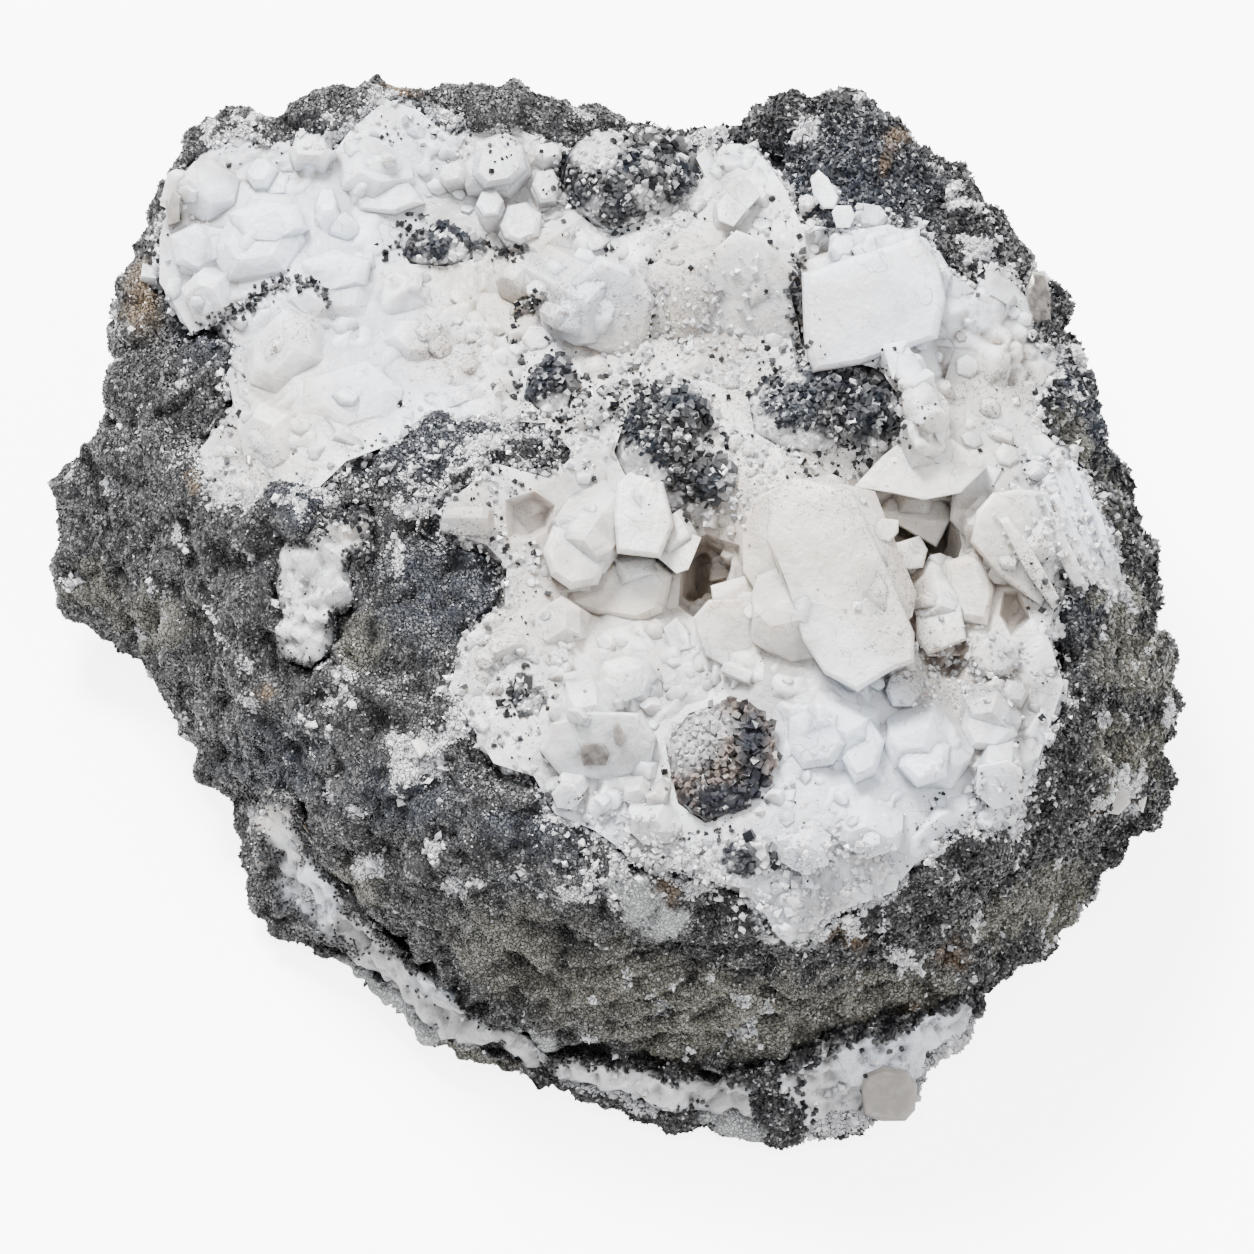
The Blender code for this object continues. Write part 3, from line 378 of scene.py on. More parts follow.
def add_piece(name, surface, material, nodes=(), marks=None, hidden=None, crease=180):
    """The surface as an object in metres that rides on the body and stands for CAD nodes.

    Edges that turn by more than crease degrees are shaded as sharp."""
    mesh = bpy.data.meshes.new(name)
    mesh.vertices.add(len(surface.points))
    mesh.vertices.foreach_set("co", (surface.points / 1000).ravel())
    mesh.loops.add(surface.faces.size)
    mesh.loops.foreach_set("vertex_index", surface.faces.ravel())
    mesh.polygons.add(len(surface.faces))
    mesh.polygons.foreach_set("loop_start", np.arange(len(surface.faces)) * 3)
    mesh.update(calc_edges=True)
    for mark, values in (marks or {}).items():
        layer = mesh.attributes.new(mark, "FLOAT", "POINT")
        layer.data.foreach_set("value", values.astype(np.float32))
    piece = new_object(name, mesh)
    if hidden is not None:
        group = piece.vertex_groups.new(name="hidden")
        group.add([int(index) for index in np.flatnonzero(hidden)], 1.0, "REPLACE")
        modifier = piece.modifiers.new("thin", "DECIMATE")
        modifier.vertex_group = "hidden"
        modifier.ratio = 1 - (1 - HIDDEN_SHARE) * hidden.mean()
        piece.data = shaped_mesh(piece)
        piece.modifiers.clear()
        bpy.data.meshes.remove(mesh)
        mesh = piece.data
        mesh.name = name
    if crease:
        mesh.shade_smooth()
    else:
        mesh.shade_flat()
    if 0 < crease < 180:
        mesh.set_sharp_from_angle(angle=math.radians(crease))
    mesh.materials.append(material)
    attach(piece, "root")
    if nodes:
        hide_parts(*nodes)
    return piece


def feed(tree, node, inputs):
    """Gives a shader node its inputs, each a value or a socket to link, by name or number."""
    for name, value in inputs.items():
        if isinstance(value, bpy.types.NodeSocket):
            tree.links.new(value, node.inputs[name])
        else:
            node.inputs[name].default_value = value


def wire(tree, kind, inputs, **settings):
    """Adds a shader node with its inputs and settings."""
    node = tree.nodes.new(kind)
    for name, value in settings.items():
        setattr(node, name, value)
    feed(tree, node, inputs)
    return node


def reckon(tree, operation, *values, clamp=False):
    """A Math node's result."""
    return wire(tree, "ShaderNodeMath", dict(enumerate(values)), operation=operation,
                use_clamp=clamp).outputs[0]


def steep(tree, value, middle, slope):
    """0 below and 1 above a middle value, with a slope between."""
    offset = reckon(tree, "SUBTRACT", value, middle)
    return reckon(tree, "MULTIPLY_ADD", offset, slope, 0.5, clamp=True)


def tint(tree, share, below, above, most=1.0):
    """One colour turned into another by a share of at most so much."""
    if most < 1:
        share = reckon(tree, "MULTIPLY", share, most)
    return wire(tree, "ShaderNodeMix", {0: share, 6: below, 7: above}, data_type="RGBA").outputs[2]


def mark(tree, name):
    """A value that the mesh holds for each of its points."""
    return wire(tree, "ShaderNodeAttribute", {}, attribute_name=name).outputs["Fac"]


def stained(tree, shade, stains):
    """A colour under stains, each a mark's name, its colour and the most of it."""
    for name, colour, most in stains:
        shade = tint(tree, mark(tree, name), shade, colour, most)
    return shade


def new_material(name):
    """A material with its node tree and its shader."""
    material = bpy.data.materials.new(name)
    material.use_nodes = True
    return material, material.node_tree, material.node_tree.nodes["Principled BSDF"]


def new_group(name, inputs, outputs):
    """A shader group of numbers; gives its tree, what goes in and the node that takes it out."""
    tree = bpy.data.node_groups.new(name, "ShaderNodeTree")
    for label, value in inputs.items():
        socket = tree.interface.new_socket(label, in_out="INPUT", socket_type="NodeSocketFloat")
        socket.default_value = value
    for label in outputs:
        tree.interface.new_socket(label, in_out="OUTPUT", socket_type="NodeSocketFloat")
    return tree, tree.nodes.new("NodeGroupInput").outputs, tree.nodes.new("NodeGroupOutput")


def placed(tree, group, inputs):
    """What a shader group puts out where it is placed in a material."""
    return wire(tree, "ShaderNodeGroup", inputs, node_tree=group).outputs


def position(tree):
    """The place on the object, in metres."""
    return wire(tree, "ShaderNodeTexCoord", {}).outputs["Object"]


def noise(tree, size, detail=3.0, roughness=0.6, distortion=0.0):
    """Noise with swellings of so many millimetres."""
    inputs = {"Vector": position(tree), "Scale": reckon(tree, "DIVIDE", 1000.0, size),
              "Detail": detail, "Roughness": roughness, "Distortion": distortion}
    return wire(tree, "ShaderNodeTexNoise", inputs).outputs[0]


def wandering(tree, scale, reach):
    """The place on the object, pushed about by noise by up to half of a reach in metres."""
    where = position(tree)
    push = wire(tree, "ShaderNodeTexNoise", {"Vector": where, "Scale": scale, "Detail": 2.0})
    inputs = {0: push.outputs[1], 1: (reach, reach, reach), 2: where}
    return wire(tree, "ShaderNodeVectorMath", inputs, operation="MULTIPLY_ADD").outputs[0]


def cells(tree, where, size, output, **settings):
    """A pattern of random cells of so many millimetres."""
    inputs = {"Vector": where, "Scale": reckon(tree, "DIVIDE", 1000.0, size)}
    return wire(tree, "ShaderNodeTexVoronoi", inputs, **settings).outputs[output]


def bump(tree, shader, height, distance, strength):
    """Small relief in millimetres on a shader."""
    node = wire(tree, "ShaderNodeBump",
                {"Height": height, "Distance": distance / 1000, "Strength": strength})
    feed(tree, shader, {"Normal": node.outputs[0]})


# Angular flakes, each with its own tone, with dark gaps between them, painted as shade in the
# cracks and also used as relief
flakes, given, gives = new_group("flakes", {"Size": 0.5}, ("Tone", "GapShade"))
where = wandering(flakes, 1600.0, 0.0006)
cell = cells(flakes, where, given["Size"], "Color")
edge = cells(flakes, where, given["Size"], "Distance", feature="DISTANCE_TO_EDGE")
feed(flakes, gives, {"Tone": wire(flakes, "ShaderNodeSeparateColor", {0: cell}).outputs[0],
                     "GapShade": reckon(flakes, "MULTIPLY", edge, 9.0, clamp=True)})

rock_material, tree, shader = new_material("dark_rock")
tone, gap_shade = placed(tree, flakes, {"Size": 0.42})
patchy = noise(tree, 5.0)
shade = tint(tree, reckon(tree, "POWER", tone, 1.6),
             (0.012, 0.012, 0.014, 1), (0.19, 0.187, 0.182, 1))
shade = tint(tree, steep(tree, patchy, 0.56, 5.0), shade, (0.012, 0.012, 0.015, 1), 0.6)
shade = stained(tree, shade, [("blue", (0.022, 0.03, 0.05, 1), 0.5),
                              ("olive", (0.27, 0.258, 0.205, 1), 0.55),
                              ("rust", (0.24, 0.16, 0.08, 1), 0.6)])
pale = reckon(tree, "MULTIPLY_ADD", tone, 0.7, mark(tree, "white"))
shade = tint(tree, steep(tree, pale, 0.95, 4.0), shade, (0.66, 0.66, 0.68, 1))
# Painted shade: near black in the cracks between flakes
shade = tint(tree, gap_shade, (0.006, 0.006, 0.007, 1), shade)
# Then the glassy calcite's own grey, and painted shade: the rock's pits go near black
shade = stained(tree, shade, [("glassy", (0.38, 0.385, 0.39, 1), 0.8),
                              ("hollow_shade", (0.004, 0.004, 0.005, 1), 0.8)])
feed(tree, shader, {"Base Color": shade,
                    "Roughness": reckon(tree, "MULTIPLY_ADD", tone, -0.4, 0.7)})
bump(tree, shader, reckon(tree, "MULTIPLY", reckon(tree, "ADD", tone, 0.4), gap_shade), 0.35, 0.9)

# The rock's relief in mm: broad lumps, knobs with cracks between them, ridges, fine bumps and
# broken facets, then the ledges and the groove
rock = even_surface(solid_of("matrix_rock"), ROCK_GRAIN)
rock_hidden = rock.covered("crystal_crust") | (rock.points[:, 2] < UNDERSIDE)
rock.relax(5)
place = swayed(rock.points, 3.0, 1.4, 2)
near, second = pebbles(place, 5.2, 20)
broad = 1.4 * swells(rock.points, 7.0, 8, 2)
knobs = 1.1 * (0.5 - near)
cracks = 0.6 * (second - near < 0.08)
ridges = 0.35 - np.abs(swells(place, 3.6, 16, 3))
fine = 0.4 * swells(rock.points, 1.3, 12, 2)
facets = 0.5 * blocks(place, 2.4, 30)
relief = broad + knobs - cracks + (ridges + fine) + facets
pixels = pixels_of(rock.points)
wander = LEDGE_WANDER_PX * swells(rock.points, 9.0, 40, 2)
layer = (pixels[:, 1] + LEDGE_SLOPE * pixels[:, 0] + wander) / LEDGE_STEP_PX
relief += LEDGE_RELIEF * blots(pixels, LEDGES) * (layer - np.floor(layer) - 0.5)
from_groove = along_line(pixels + 5 * swells(rock.points, 3.0, 44)[:, None], GROOVE)
relief -= GROOVE_DEPTH * unit(1.2 - from_groove / GROOVE_HALF)
relief *= unit(rock.points[:, 2] / FADE_HEIGHT) * ~rock_hidden
rock.points += rock.normals() * relief[:, None]
rock.relax(1)
rock.points[:, 2] = np.maximum(rock.points[:, 2], 0.0)

# Its stains, white carbonate in clumps, thickest beside the crust, and painted shade in its pits
pixels = pixels_of(rock.points)
ragged = ragged_shift(rock.points, 2.4, 22)
beside_crust = rock.nearness("crystal_crust", 1.2) + 0.6 * swells(rock.points, 2.4, 81, 2)
rock_white = np.maximum(blots(pixels + ragged, WHITE_ON_ROCK), np.clip(beside_crust, 0, 0.9))
rock_white = np.maximum(rock_white, within_any(pixels + 0.4 * ragged, WHITE_AREAS))
clump = 0.5 + 0.42 * swells(rock.points, 2.2, 85, 2)
rock_white = unit(0.5 + (rock_white - clump) / 0.25)
glassy = within_any(pixels + 0.6 * ragged, GLASSY_AREAS)
rock_marks = {"white": np.maximum(rock_white * unit(rock.points[:, 2] / 2), 0.6 * glassy),
              "olive": blots(pixels + ragged, OLIVE_ON_ROCK),
              "rust": blots(pixels + 0.4 * ragged, RUST_ON_ROCK),
              "blue": blots(pixels + ragged, BLUE_ON_ROCK), "glassy": glassy,
              # painted shade: how deep each pit lies, to darken it
              "hollow_shade": unit((rock.hollowness(12) - 0.05) / 0.6)}
add_piece("matrix_rock_surface", rock, rock_material, ["matrix_rock"], rock_marks,
          rock_hidden)

# Grains of the rock
# Sulphide grains and carbonate crumbs of half a millimetre to a millimetre cover the rock,
# set in it to half their depth. Broken faces of some flash like small mirrors.

# Forms of grains: their corners, about two units across, and their faces
OCTAHEDRON = (np.array([(1, 0, 0), (-1, 0, 0), (0, 1, 0), (0, -1, 0), (0, 0, 1), (0, 0, -1)]),
              np.array([(0, 2, 4), (2, 1, 4), (1, 3, 4), (3, 0, 4), (2, 0, 5), (1, 2, 5),
                        (3, 1, 5), (0, 3, 5)]))
TETRAHEDRON = (np.array([(1.2, 0, -0.4), (-0.6, 1.0, -0.4), (-0.6, -1.0, -0.4), (0, 0, 0.8)]),
               np.array([(0, 2, 1), (0, 1, 3), (1, 2, 3), (2, 0, 3)]))
ROCK_GRAINS = 14000
ROCK_CHIPS = 42000
HIDDEN_GRAINS = 6000     # on the side away from the viewer
# The rock's marks that its grains take on, the last being its painted shade in pits
STAINS = ("olive", "rust", "blue", "hollow_shade")


def scatter(surface, count, density, seed):
    """Random places on a surface, denser where density is higher, and their directions."""
    random = np.random.default_rng(seed)
    turns = surface.face_turns()
    area = np.linalg.norm(turns, axis=1)
    weight = area * density[surface.faces].mean(axis=1)
    chosen = random.choice(len(weight), count, p=weight / weight.sum())
    share = random.dirichlet((1, 1, 1), count)
    corners = surface.faces[chosen]
    places = np.einsum("nk,nkj->nj", share, surface.points[corners])
    return places, turns[chosen] / area[chosen, None], corners[:, 0]


def grains(form, places, outward, sizes, seed, sunk=0.25):
    """Angular grains of a form at places, turned and dented at random and partly sunk."""
    random = np.random.default_rng(seed)
    corners, sides = form
    count = len(places)
    spin = random.normal(size=(count, 4)).T
    w, x, y, z = spin / np.linalg.norm(spin, axis=0)
    turn = np.stack([1 - 2 * (y * y + z * z), 2 * (x * y - z * w), 2 * (x * z + y * w),
                     2 * (x * y + z * w), 1 - 2 * (x * x + z * z), 2 * (y * z - x * w),
                     2 * (x * z - y * w), 2 * (y * z + x * w), 1 - 2 * (x * x + y * y)], axis=1)
    local = corners * random.uniform(0.75, 1.25, (count, 1, 3))
    local = local + random.uniform(-0.16, 0.16, (count, len(corners), 3))
    local = local * sizes[:, None, None] / 2
    middle = places + outward * ((0.5 - sunk) * sizes)[:, None]
    points = np.einsum("nij,nkj->nki", turn.reshape(-1, 3, 3), local) + middle[:, None]
    faces = sides + len(corners) * np.arange(count)[:, None, None]
    return Surface(points.reshape(-1, 3), faces.reshape(-1, 3))


def grain_material(name, dark, middle, pale, rough, metallic):
    """Grains whose colour runs from dark through middle to pale with their tone."""
    material, tree, shader = new_material(name)
    tone = mark(tree, "tone")
    shade = tint(tree, steep(tree, tone, 0.5, 1.4), dark, middle)
    shade = tint(tree, steep(tree, tone, 0.96, 20.0), shade, pale)
    white = tint(tree, tone, (0.46, 0.46, 0.47, 1), (0.76, 0.76, 0.78, 1))
    # The last stain is painted shade: grains in the rock's pits go near black
    shade = stained(tree, shade, [("blue", (0.02, 0.028, 0.045, 1), 0.5),
                                  ("olive", (0.30, 0.288, 0.23, 1), 0.55),
                                  ("rust", (0.22, 0.15, 0.095, 1), 0.5),
                                  ("white", white, 1.0),
                                  ("hollow_shade", (0.004, 0.004, 0.005, 1), 0.7)])
    grime = steep(tree, noise(tree, 0.4, 2.0), 0.5, 3.0)
    solid = reckon(tree, "SUBTRACT", 1.0, mark(tree, "white"))
    feed(tree, shader, {"Base Color": tint(tree, grime, shade, (0.0, 0.0, 0.0, 1), 0.35),
                        "Metallic": reckon(tree, "MULTIPLY", solid, metallic), "Roughness": rough})
    return material


def grain_marks(surface_marks, places, owners, corners, seed):
    """The marks of the surface under each grain, given to all of the grain's points."""
    random = np.random.default_rng(seed)
    marks = {name: np.repeat(surface_marks[name][owners], corners) for name in STAINS}
    white = surface_marks["white"][owners] > random.uniform(0.35, 0.75, len(owners))
    marks["white"] = np.repeat(white.astype(float), corners)
    tone = np.clip(0.8 + 0.7 * swells(places, 1.5, seed, 2), 0.15, 1.25)
    tone *= random.random(len(owners))
    marks["tone"] = np.repeat(unit(tone), corners)
    return marks


dark_grains = grain_material("sulphide_grains", (0.008, 0.008, 0.010, 1), (0.14, 0.14, 0.142, 1),
                             (0.5, 0.5, 0.51, 1), 0.35, 0.3)
facing = rock.normals() @ TOWARD_VIEWER
open_rock = ~rock_hidden * unit(rock.points[:, 2] - 0.3) * (1 - 0.85 * glassy)
seen = open_rock * unit(facing * 3 + 0.4)
unseen = open_rock * unit(0.6 - facing * 3)
for name, form, count, density, least, sunk, seed in (
        ("rock_grains_front", OCTAHEDRON, ROCK_GRAINS, seen, 0.28, 0.35, 1),
        ("rock_chips_front", TETRAHEDRON, ROCK_CHIPS, seen, 0.28, 0.35, 3),
        ("rock_grains_behind", OCTAHEDRON, HIDDEN_GRAINS, unseen, 0.6, 0.5, 2)):
    places, outward, owners = scatter(rock, count, density, seed)
    sizes = least + 0.5 * np.random.default_rng(seed).random(count) ** 3
    crumbs = grains(form, places, outward, sizes, seed, sunk)
    crumbs.points[:, 2] = np.maximum(crumbs.points[:, 2], 0.0)
    add_piece(name, crumbs, dark_grains,
              marks=grain_marks(rock_marks, places, owners, len(form[0]), seed), crease=0)

# Crystal crust
# Milky tarnowitzite grew over the rock as one mass of blunt, six-sided crystals and rounded
# lumps, with hollows between them. Its skin is waxy, a little see-through, and dusty in places.
CRUST_GRAIN = 0.45       # spacing of the surface's points, mm
SHARP_EDGE = math.radians(30)                # an edge that turns by more is one of a crystal
SMALL_CRYSTALS = [       # pixel of the end face, width and length in mm, lean and its direction
    (281, 147, 2.4, 4, 30, 100), (455, 142, 1.8, 4, 20, 90), (549, 214, 2.4, 4, 40, 140),
    (820, 236, 2.4, 5, 30, 60), (716, 570, 2.4, 4, 40, 120), (575, 716, 2.4, 4, 20, 200),
    (1029, 468, 2.6, 5, 40, 150), (712, 168, 2.8, 5, 60, 110), (824, 192, 2.6, 5, 55, 115),
    (841, 218, 2.3, 4, 10, 90), (871, 217, 3.4, 4, 20, 60), (807, 202, 1.8, 4, 20, 90),
    (730, 578, 1.8, 4, 30, 200), (668, 655, 2.4, 5, 40, 140), (655, 800, 2.4, 4, 30, 240),
    (612, 800, 2.2, 4, 30, 260), (690, 640, 2.6, 4, 30, 60), (640, 770, 2.6, 5, 30, 200),
    (556, 745, 2.8, 5, 30, 180), (940, 560, 2.4, 4, 40, 60), (970, 610, 3.0, 5, 30, 40),
    (930, 600, 2.2, 4, 40, 20), (880, 560, 2.6, 5, 50, 20), (1005, 560, 2.6, 4, 30, 60),
    (860, 255, 1.8, 3, 30, 90), (800, 250, 1.6, 3, 40, 80), (875, 262, 1.8, 3, 30, 60),
]
TRACED_CRYSTALS = [      # outline of the end face in pixels; lift in mm, lean, direction, doming
    # the big slab and the stepped blocks at its left
    ([(768, 500), (792, 478), (849, 491), (880, 560), (911, 633), (911, 662), (887, 671),
      (855, 691), (822, 673), (800, 640), (785, 590), (765, 540)], 1.0, 12, 110, 0.15),
    ([(741, 535), (752, 500), (790, 480), (830, 560), (820, 640), (760, 600), (742, 572)],
     0.9, 10, 120, 0.1),
    ([(710, 586), (741, 577), (780, 572), (800, 600), (712, 600)], 1.2, 20, 100, 0.1),
    ([(692, 618), (708, 600), (790, 596), (812, 640), (800, 672), (740, 676), (704, 655)],
     0.9, 8, 120, 0.15),
    ([(663, 628), (676, 617), (688, 631), (692, 650), (672, 656)], 0.8, 30, 140, 0.6),
    # shelf above the right hollow, and the crystals in and beside it
    ([(852, 488), (880, 458), (905, 438), (950, 440), (985, 468), (958, 494), (922, 501),
      (890, 494)], 0.9, 16, 95, 0.1),
    ([(877, 515), (884, 498), (940, 500), (951, 510), (948, 522), (935, 548), (905, 531)],
     0.5, 20, 80, 0.3),
    ([(868, 532), (880, 519), (896, 521), (896, 533), (887, 543), (872, 542)], 0.9, 35, 60, 0.6),
    ([(882, 556), (887, 546), (918, 536), (926, 550), (921, 568), (890, 573), (883, 567)],
     1.4, 25, 40, 0.5),
    ([(968, 543), (974, 512), (990, 494), (1015, 490), (1044, 493), (1056, 530), (1052, 575),
      (1038, 606), (1018, 592), (995, 575), (982, 560)], 0.9, 16, 350, 0.2),
    ([(943, 562), (965, 555), (985, 562), (992, 590), (985, 626), (962, 622), (946, 600)],
     0.8, 20, 140, 0.7),
    ([(914, 612), (922, 595), (946, 592), (958, 605), (964, 640), (940, 650), (925, 655),
      (914, 640)], 0.9, 20, 110, 0.35),
    ([(968, 655), (976, 638), (996, 634), (1014, 644), (1018, 662), (1004, 677), (980, 676)],
     0.7, 10, 60, 0.9),
    ([(948, 520), (952, 480), (975, 462), (1000, 470), (990, 494), (972, 515), (966, 545)],
     0.6, 15, 90, 0.4),
    # round the left hollow
    ([(543, 552), (556, 519), (579, 516), (594, 541), (609, 559), (598, 585), (571, 590),
      (551, 576)], 0.9, 20, 45, 0.6),
    ([(614, 519), (617, 483), (630, 473), (663, 483), (674, 524), (660, 559), (617, 554)],
     0.8, 18, 95, 0.35),
    ([(659, 559), (673, 527), (701, 538), (688, 570), (676, 574)], 1.0, 30, 130, 0.1),
    ([(556, 586), (617, 557), (659, 561), (672, 576), (664, 613), (642, 623), (597, 616),
      (560, 606)], 0.6, 15, 90, 0.7),
    ([(604, 452), (632, 437), (658, 450), (664, 480), (630, 476), (606, 468)], 0.5, 15, 230, 0.7),
    ([(706, 565), (716, 560), (728, 569), (738, 577), (710, 582)], 0.7, 30, 120, 0.7),
    ([(596, 680), (604, 661), (625, 654), (648, 660), (658, 677), (650, 700), (626, 710),
      (602, 700)], 0.7, 15, 100, 0.9),
    ([(540, 748), (552, 722), (590, 710), (640, 712), (656, 735), (650, 766), (610, 780),
      (560, 773)], 0.9, 18, 270, 0.25),
    ([(552, 792), (562, 780), (576, 782), (584, 795), (575, 808), (558, 806)], 0.7, 20, 250, 0.6),
    # the white block and the tilted prisms of the upper middle
    ([(801, 275), (820, 269), (861, 255), (914, 238), (936, 262), (944, 300), (936, 340),
      (900, 352), (860, 366), (812, 374), (804, 350), (802, 310)], 0.9, 10, 100, 0.3),
    ([(916, 250), (938, 252), (952, 276), (944, 298), (922, 290), (908, 268)], 0.6, 14, 60, 0.9),
    ([(926, 304), (948, 298), (960, 322), (946, 344), (922, 340), (914, 322)], 0.6, 14, 20, 0.9),
    ([(850, 250), (872, 238), (900, 234), (908, 248), (880, 258), (858, 264)], 0.6, 14, 100, 0.9),
    ([(660, 298), (692, 270), (736, 232), (764, 242), (797, 274), (788, 289), (797, 324),
      (804, 368), (770, 378), (683, 380), (634, 372), (648, 336)], 0.5, 14, 275, 0.1),
    ([(571, 283), (600, 257), (640, 274), (655, 300), (648, 336), (632, 360), (600, 354),
      (578, 345), (571, 320)], 0.7, 14, 250, 0.4),
    ([(716, 207), (739, 177), (749, 181), (760, 197), (745, 213), (733, 228), (718, 222)],
     0.9, 30, 80, 0.15),
    ([(717, 152), (724, 144), (741, 144), (748, 153), (741, 162), (729, 164), (718, 158)],
     0.6, 30, 90, 0.4),
    ([(696, 158), (706, 148), (717, 166), (727, 184), (716, 192), (705, 177)], 0.8, 35, 60, 0.2),
    ([(831, 214), (835, 207), (850, 207), (854, 218), (849, 229), (836, 229)], 1.6, 10, 90, 0.1),
    ([(810, 180), (818, 171), (828, 180), (838, 199), (833, 210), (823, 210), (813, 197)],
     1.4, 25, 130, 0.3),
    ([(856, 214), (864, 207), (879, 207), (887, 217), (877, 228), (861, 226)], 1.2, 15, 60, 0.7),
    ([(860, 250), (866, 236), (884, 231), (892, 240), (884, 256), (868, 258)], 0.8, 25, 80, 0.3),
    ([(896, 252), (899, 236), (912, 230), (919, 240), (916, 256)], 0.8, 30, 80, 0.2),
    # striated blades of the right side
    ([(996, 520), (1004, 517), (1030, 552), (1058, 602), (1050, 610), (1022, 572)],
     1.6, 14, 220, 0.3),
    ([(1047, 455), (1056, 448), (1078, 500), (1092, 548), (1082, 552), (1062, 510)],
     1.2, 20, 30, 0.4),
    ([(1060, 470), (1070, 462), (1100, 520), (1112, 560), (1104, 566), (1080, 520)],
     1.0, 25, 200, 0.4),
    ([(1030, 500), (1040, 494), (1072, 556), (1085, 590), (1074, 594), (1050, 550)],
     1.1, 20, 210, 0.4),
    ([(1046, 498), (1054, 492), (1084, 548), (1096, 580), (1088, 586), (1066, 546)],
     1.0, 20, 20, 0.4),
    # crystal ends of the upper left
    ([(469, 178), (476, 142), (500, 134), (523, 146), (528, 170), (512, 186), (484, 190)],
     0.6, 20, 100, 0.9),
    ([(476, 206), (482, 192), (496, 190), (504, 202), (498, 216), (484, 218)], 0.7, 30, 110, 0.8),
    ([(499, 226), (508, 206), (526, 203), (542, 215), (540, 238), (520, 246), (504, 240)],
     0.6, 25, 120, 0.9),
    ([(532, 186), (537, 172), (553, 170), (560, 184), (556, 202), (540, 204)], 0.7, 20, 95, 0.8),
    ([(291, 152), (296, 132), (314, 124), (334, 136), (332, 158), (312, 166)], 0.8, 25, 95, 0.5),
    # lumps of the lower right
    ([(883, 690), (888, 675), (902, 669), (916, 676), (919, 692), (908, 706), (890, 706)],
     0.8, 15, 90, 0.6),
    ([(972, 792), (974, 764), (1004, 758), (1018, 768), (1016, 800), (990, 808)],
     0.7, 20, 265, 0.2),
    ([(786, 716), (812, 704), (838, 712), (846, 744), (832, 764), (800, 770), (784, 748)],
     0.3, 16, 160, 0.9),
    ([(846, 722), (868, 716), (882, 740), (874, 772), (852, 782), (838, 758)], 0.3, 14, 60, 0.9),
    ([(896, 736), (926, 726), (948, 744), (944, 776), (914, 786), (894, 766)], 0.3, 18, 110, 0.9),
    ([(956, 728), (962, 704), (986, 694), (1010, 708), (1014, 734), (994, 752), (966, 748)],
     0.2, 18, 80, 0.9),
    # lumps of the upper left
    ([(170, 236), (196, 224), (222, 236), (226, 262), (200, 276), (176, 264)], 0.3, 14, 150, 0.9),
    ([(228, 214), (262, 200), (300, 206), (310, 230), (280, 250), (240, 246)], 0.3, 12, 100, 0.9),
    ([(300, 262), (336, 250), (372, 262), (368, 286), (330, 298), (304, 288)], 0.2, 14, 80, 0.9),
    ([(344, 190), (372, 176), (410, 182), (426, 204), (396, 216), (356, 212)], 0.4, 14, 95, 0.8),
    ([(352, 232), (380, 222), (404, 232), (400, 252), (370, 258)], 0.3, 16, 60, 0.9),
    ([(256, 176), (272, 168), (290, 176), (288, 196), (266, 200)], 0.4, 16, 120, 0.9),
]
CROWD = 440              # crystals crowding the crust between the large ones
CROWD_TRIES = 6          # places tried for each of them
CROWD_SIZES = (1.2, 4.2)  # mm
CROWD_GAP = 0.36         # how far apart two stand, in the sum of their sizes
BED_SINK = 0.3           # mm the bed drops where the solid's own faces show over it
CRISP_PLACES = [(835, 570, 80, 120, 24), (600, 540, 90, 80), (960, 560, 90, 120),
                (870, 310, 80, 62), (720, 300, 76, 76), (1010, 400, 50, 50)]
SMOOTH_PLACES = [(922, 405, 26, 60), (974, 322, 34, 28), (1015, 360, 36, 30), (475, 770, 26, 30),
                 (930, 860, 30, 20)]
CALM_PLACES = [(320, 250, 150, 60), (290, 390, 130, 90, 30), (940, 400, 60, 60),
               (870, 750, 110, 60)]
COARSE_CROWD = [(290, 240, 130, 90), (330, 400, 110, 80), (570, 300, 80, 50), (960, 440, 60, 40)]
BARE_FACES = [(835, 560, 50, 90, 24), (720, 300, 50, 50), (870, 310, 62, 44), (1008, 530, 30, 40),
              (712, 580, 22, 36), (523, 520, 30, 20)]
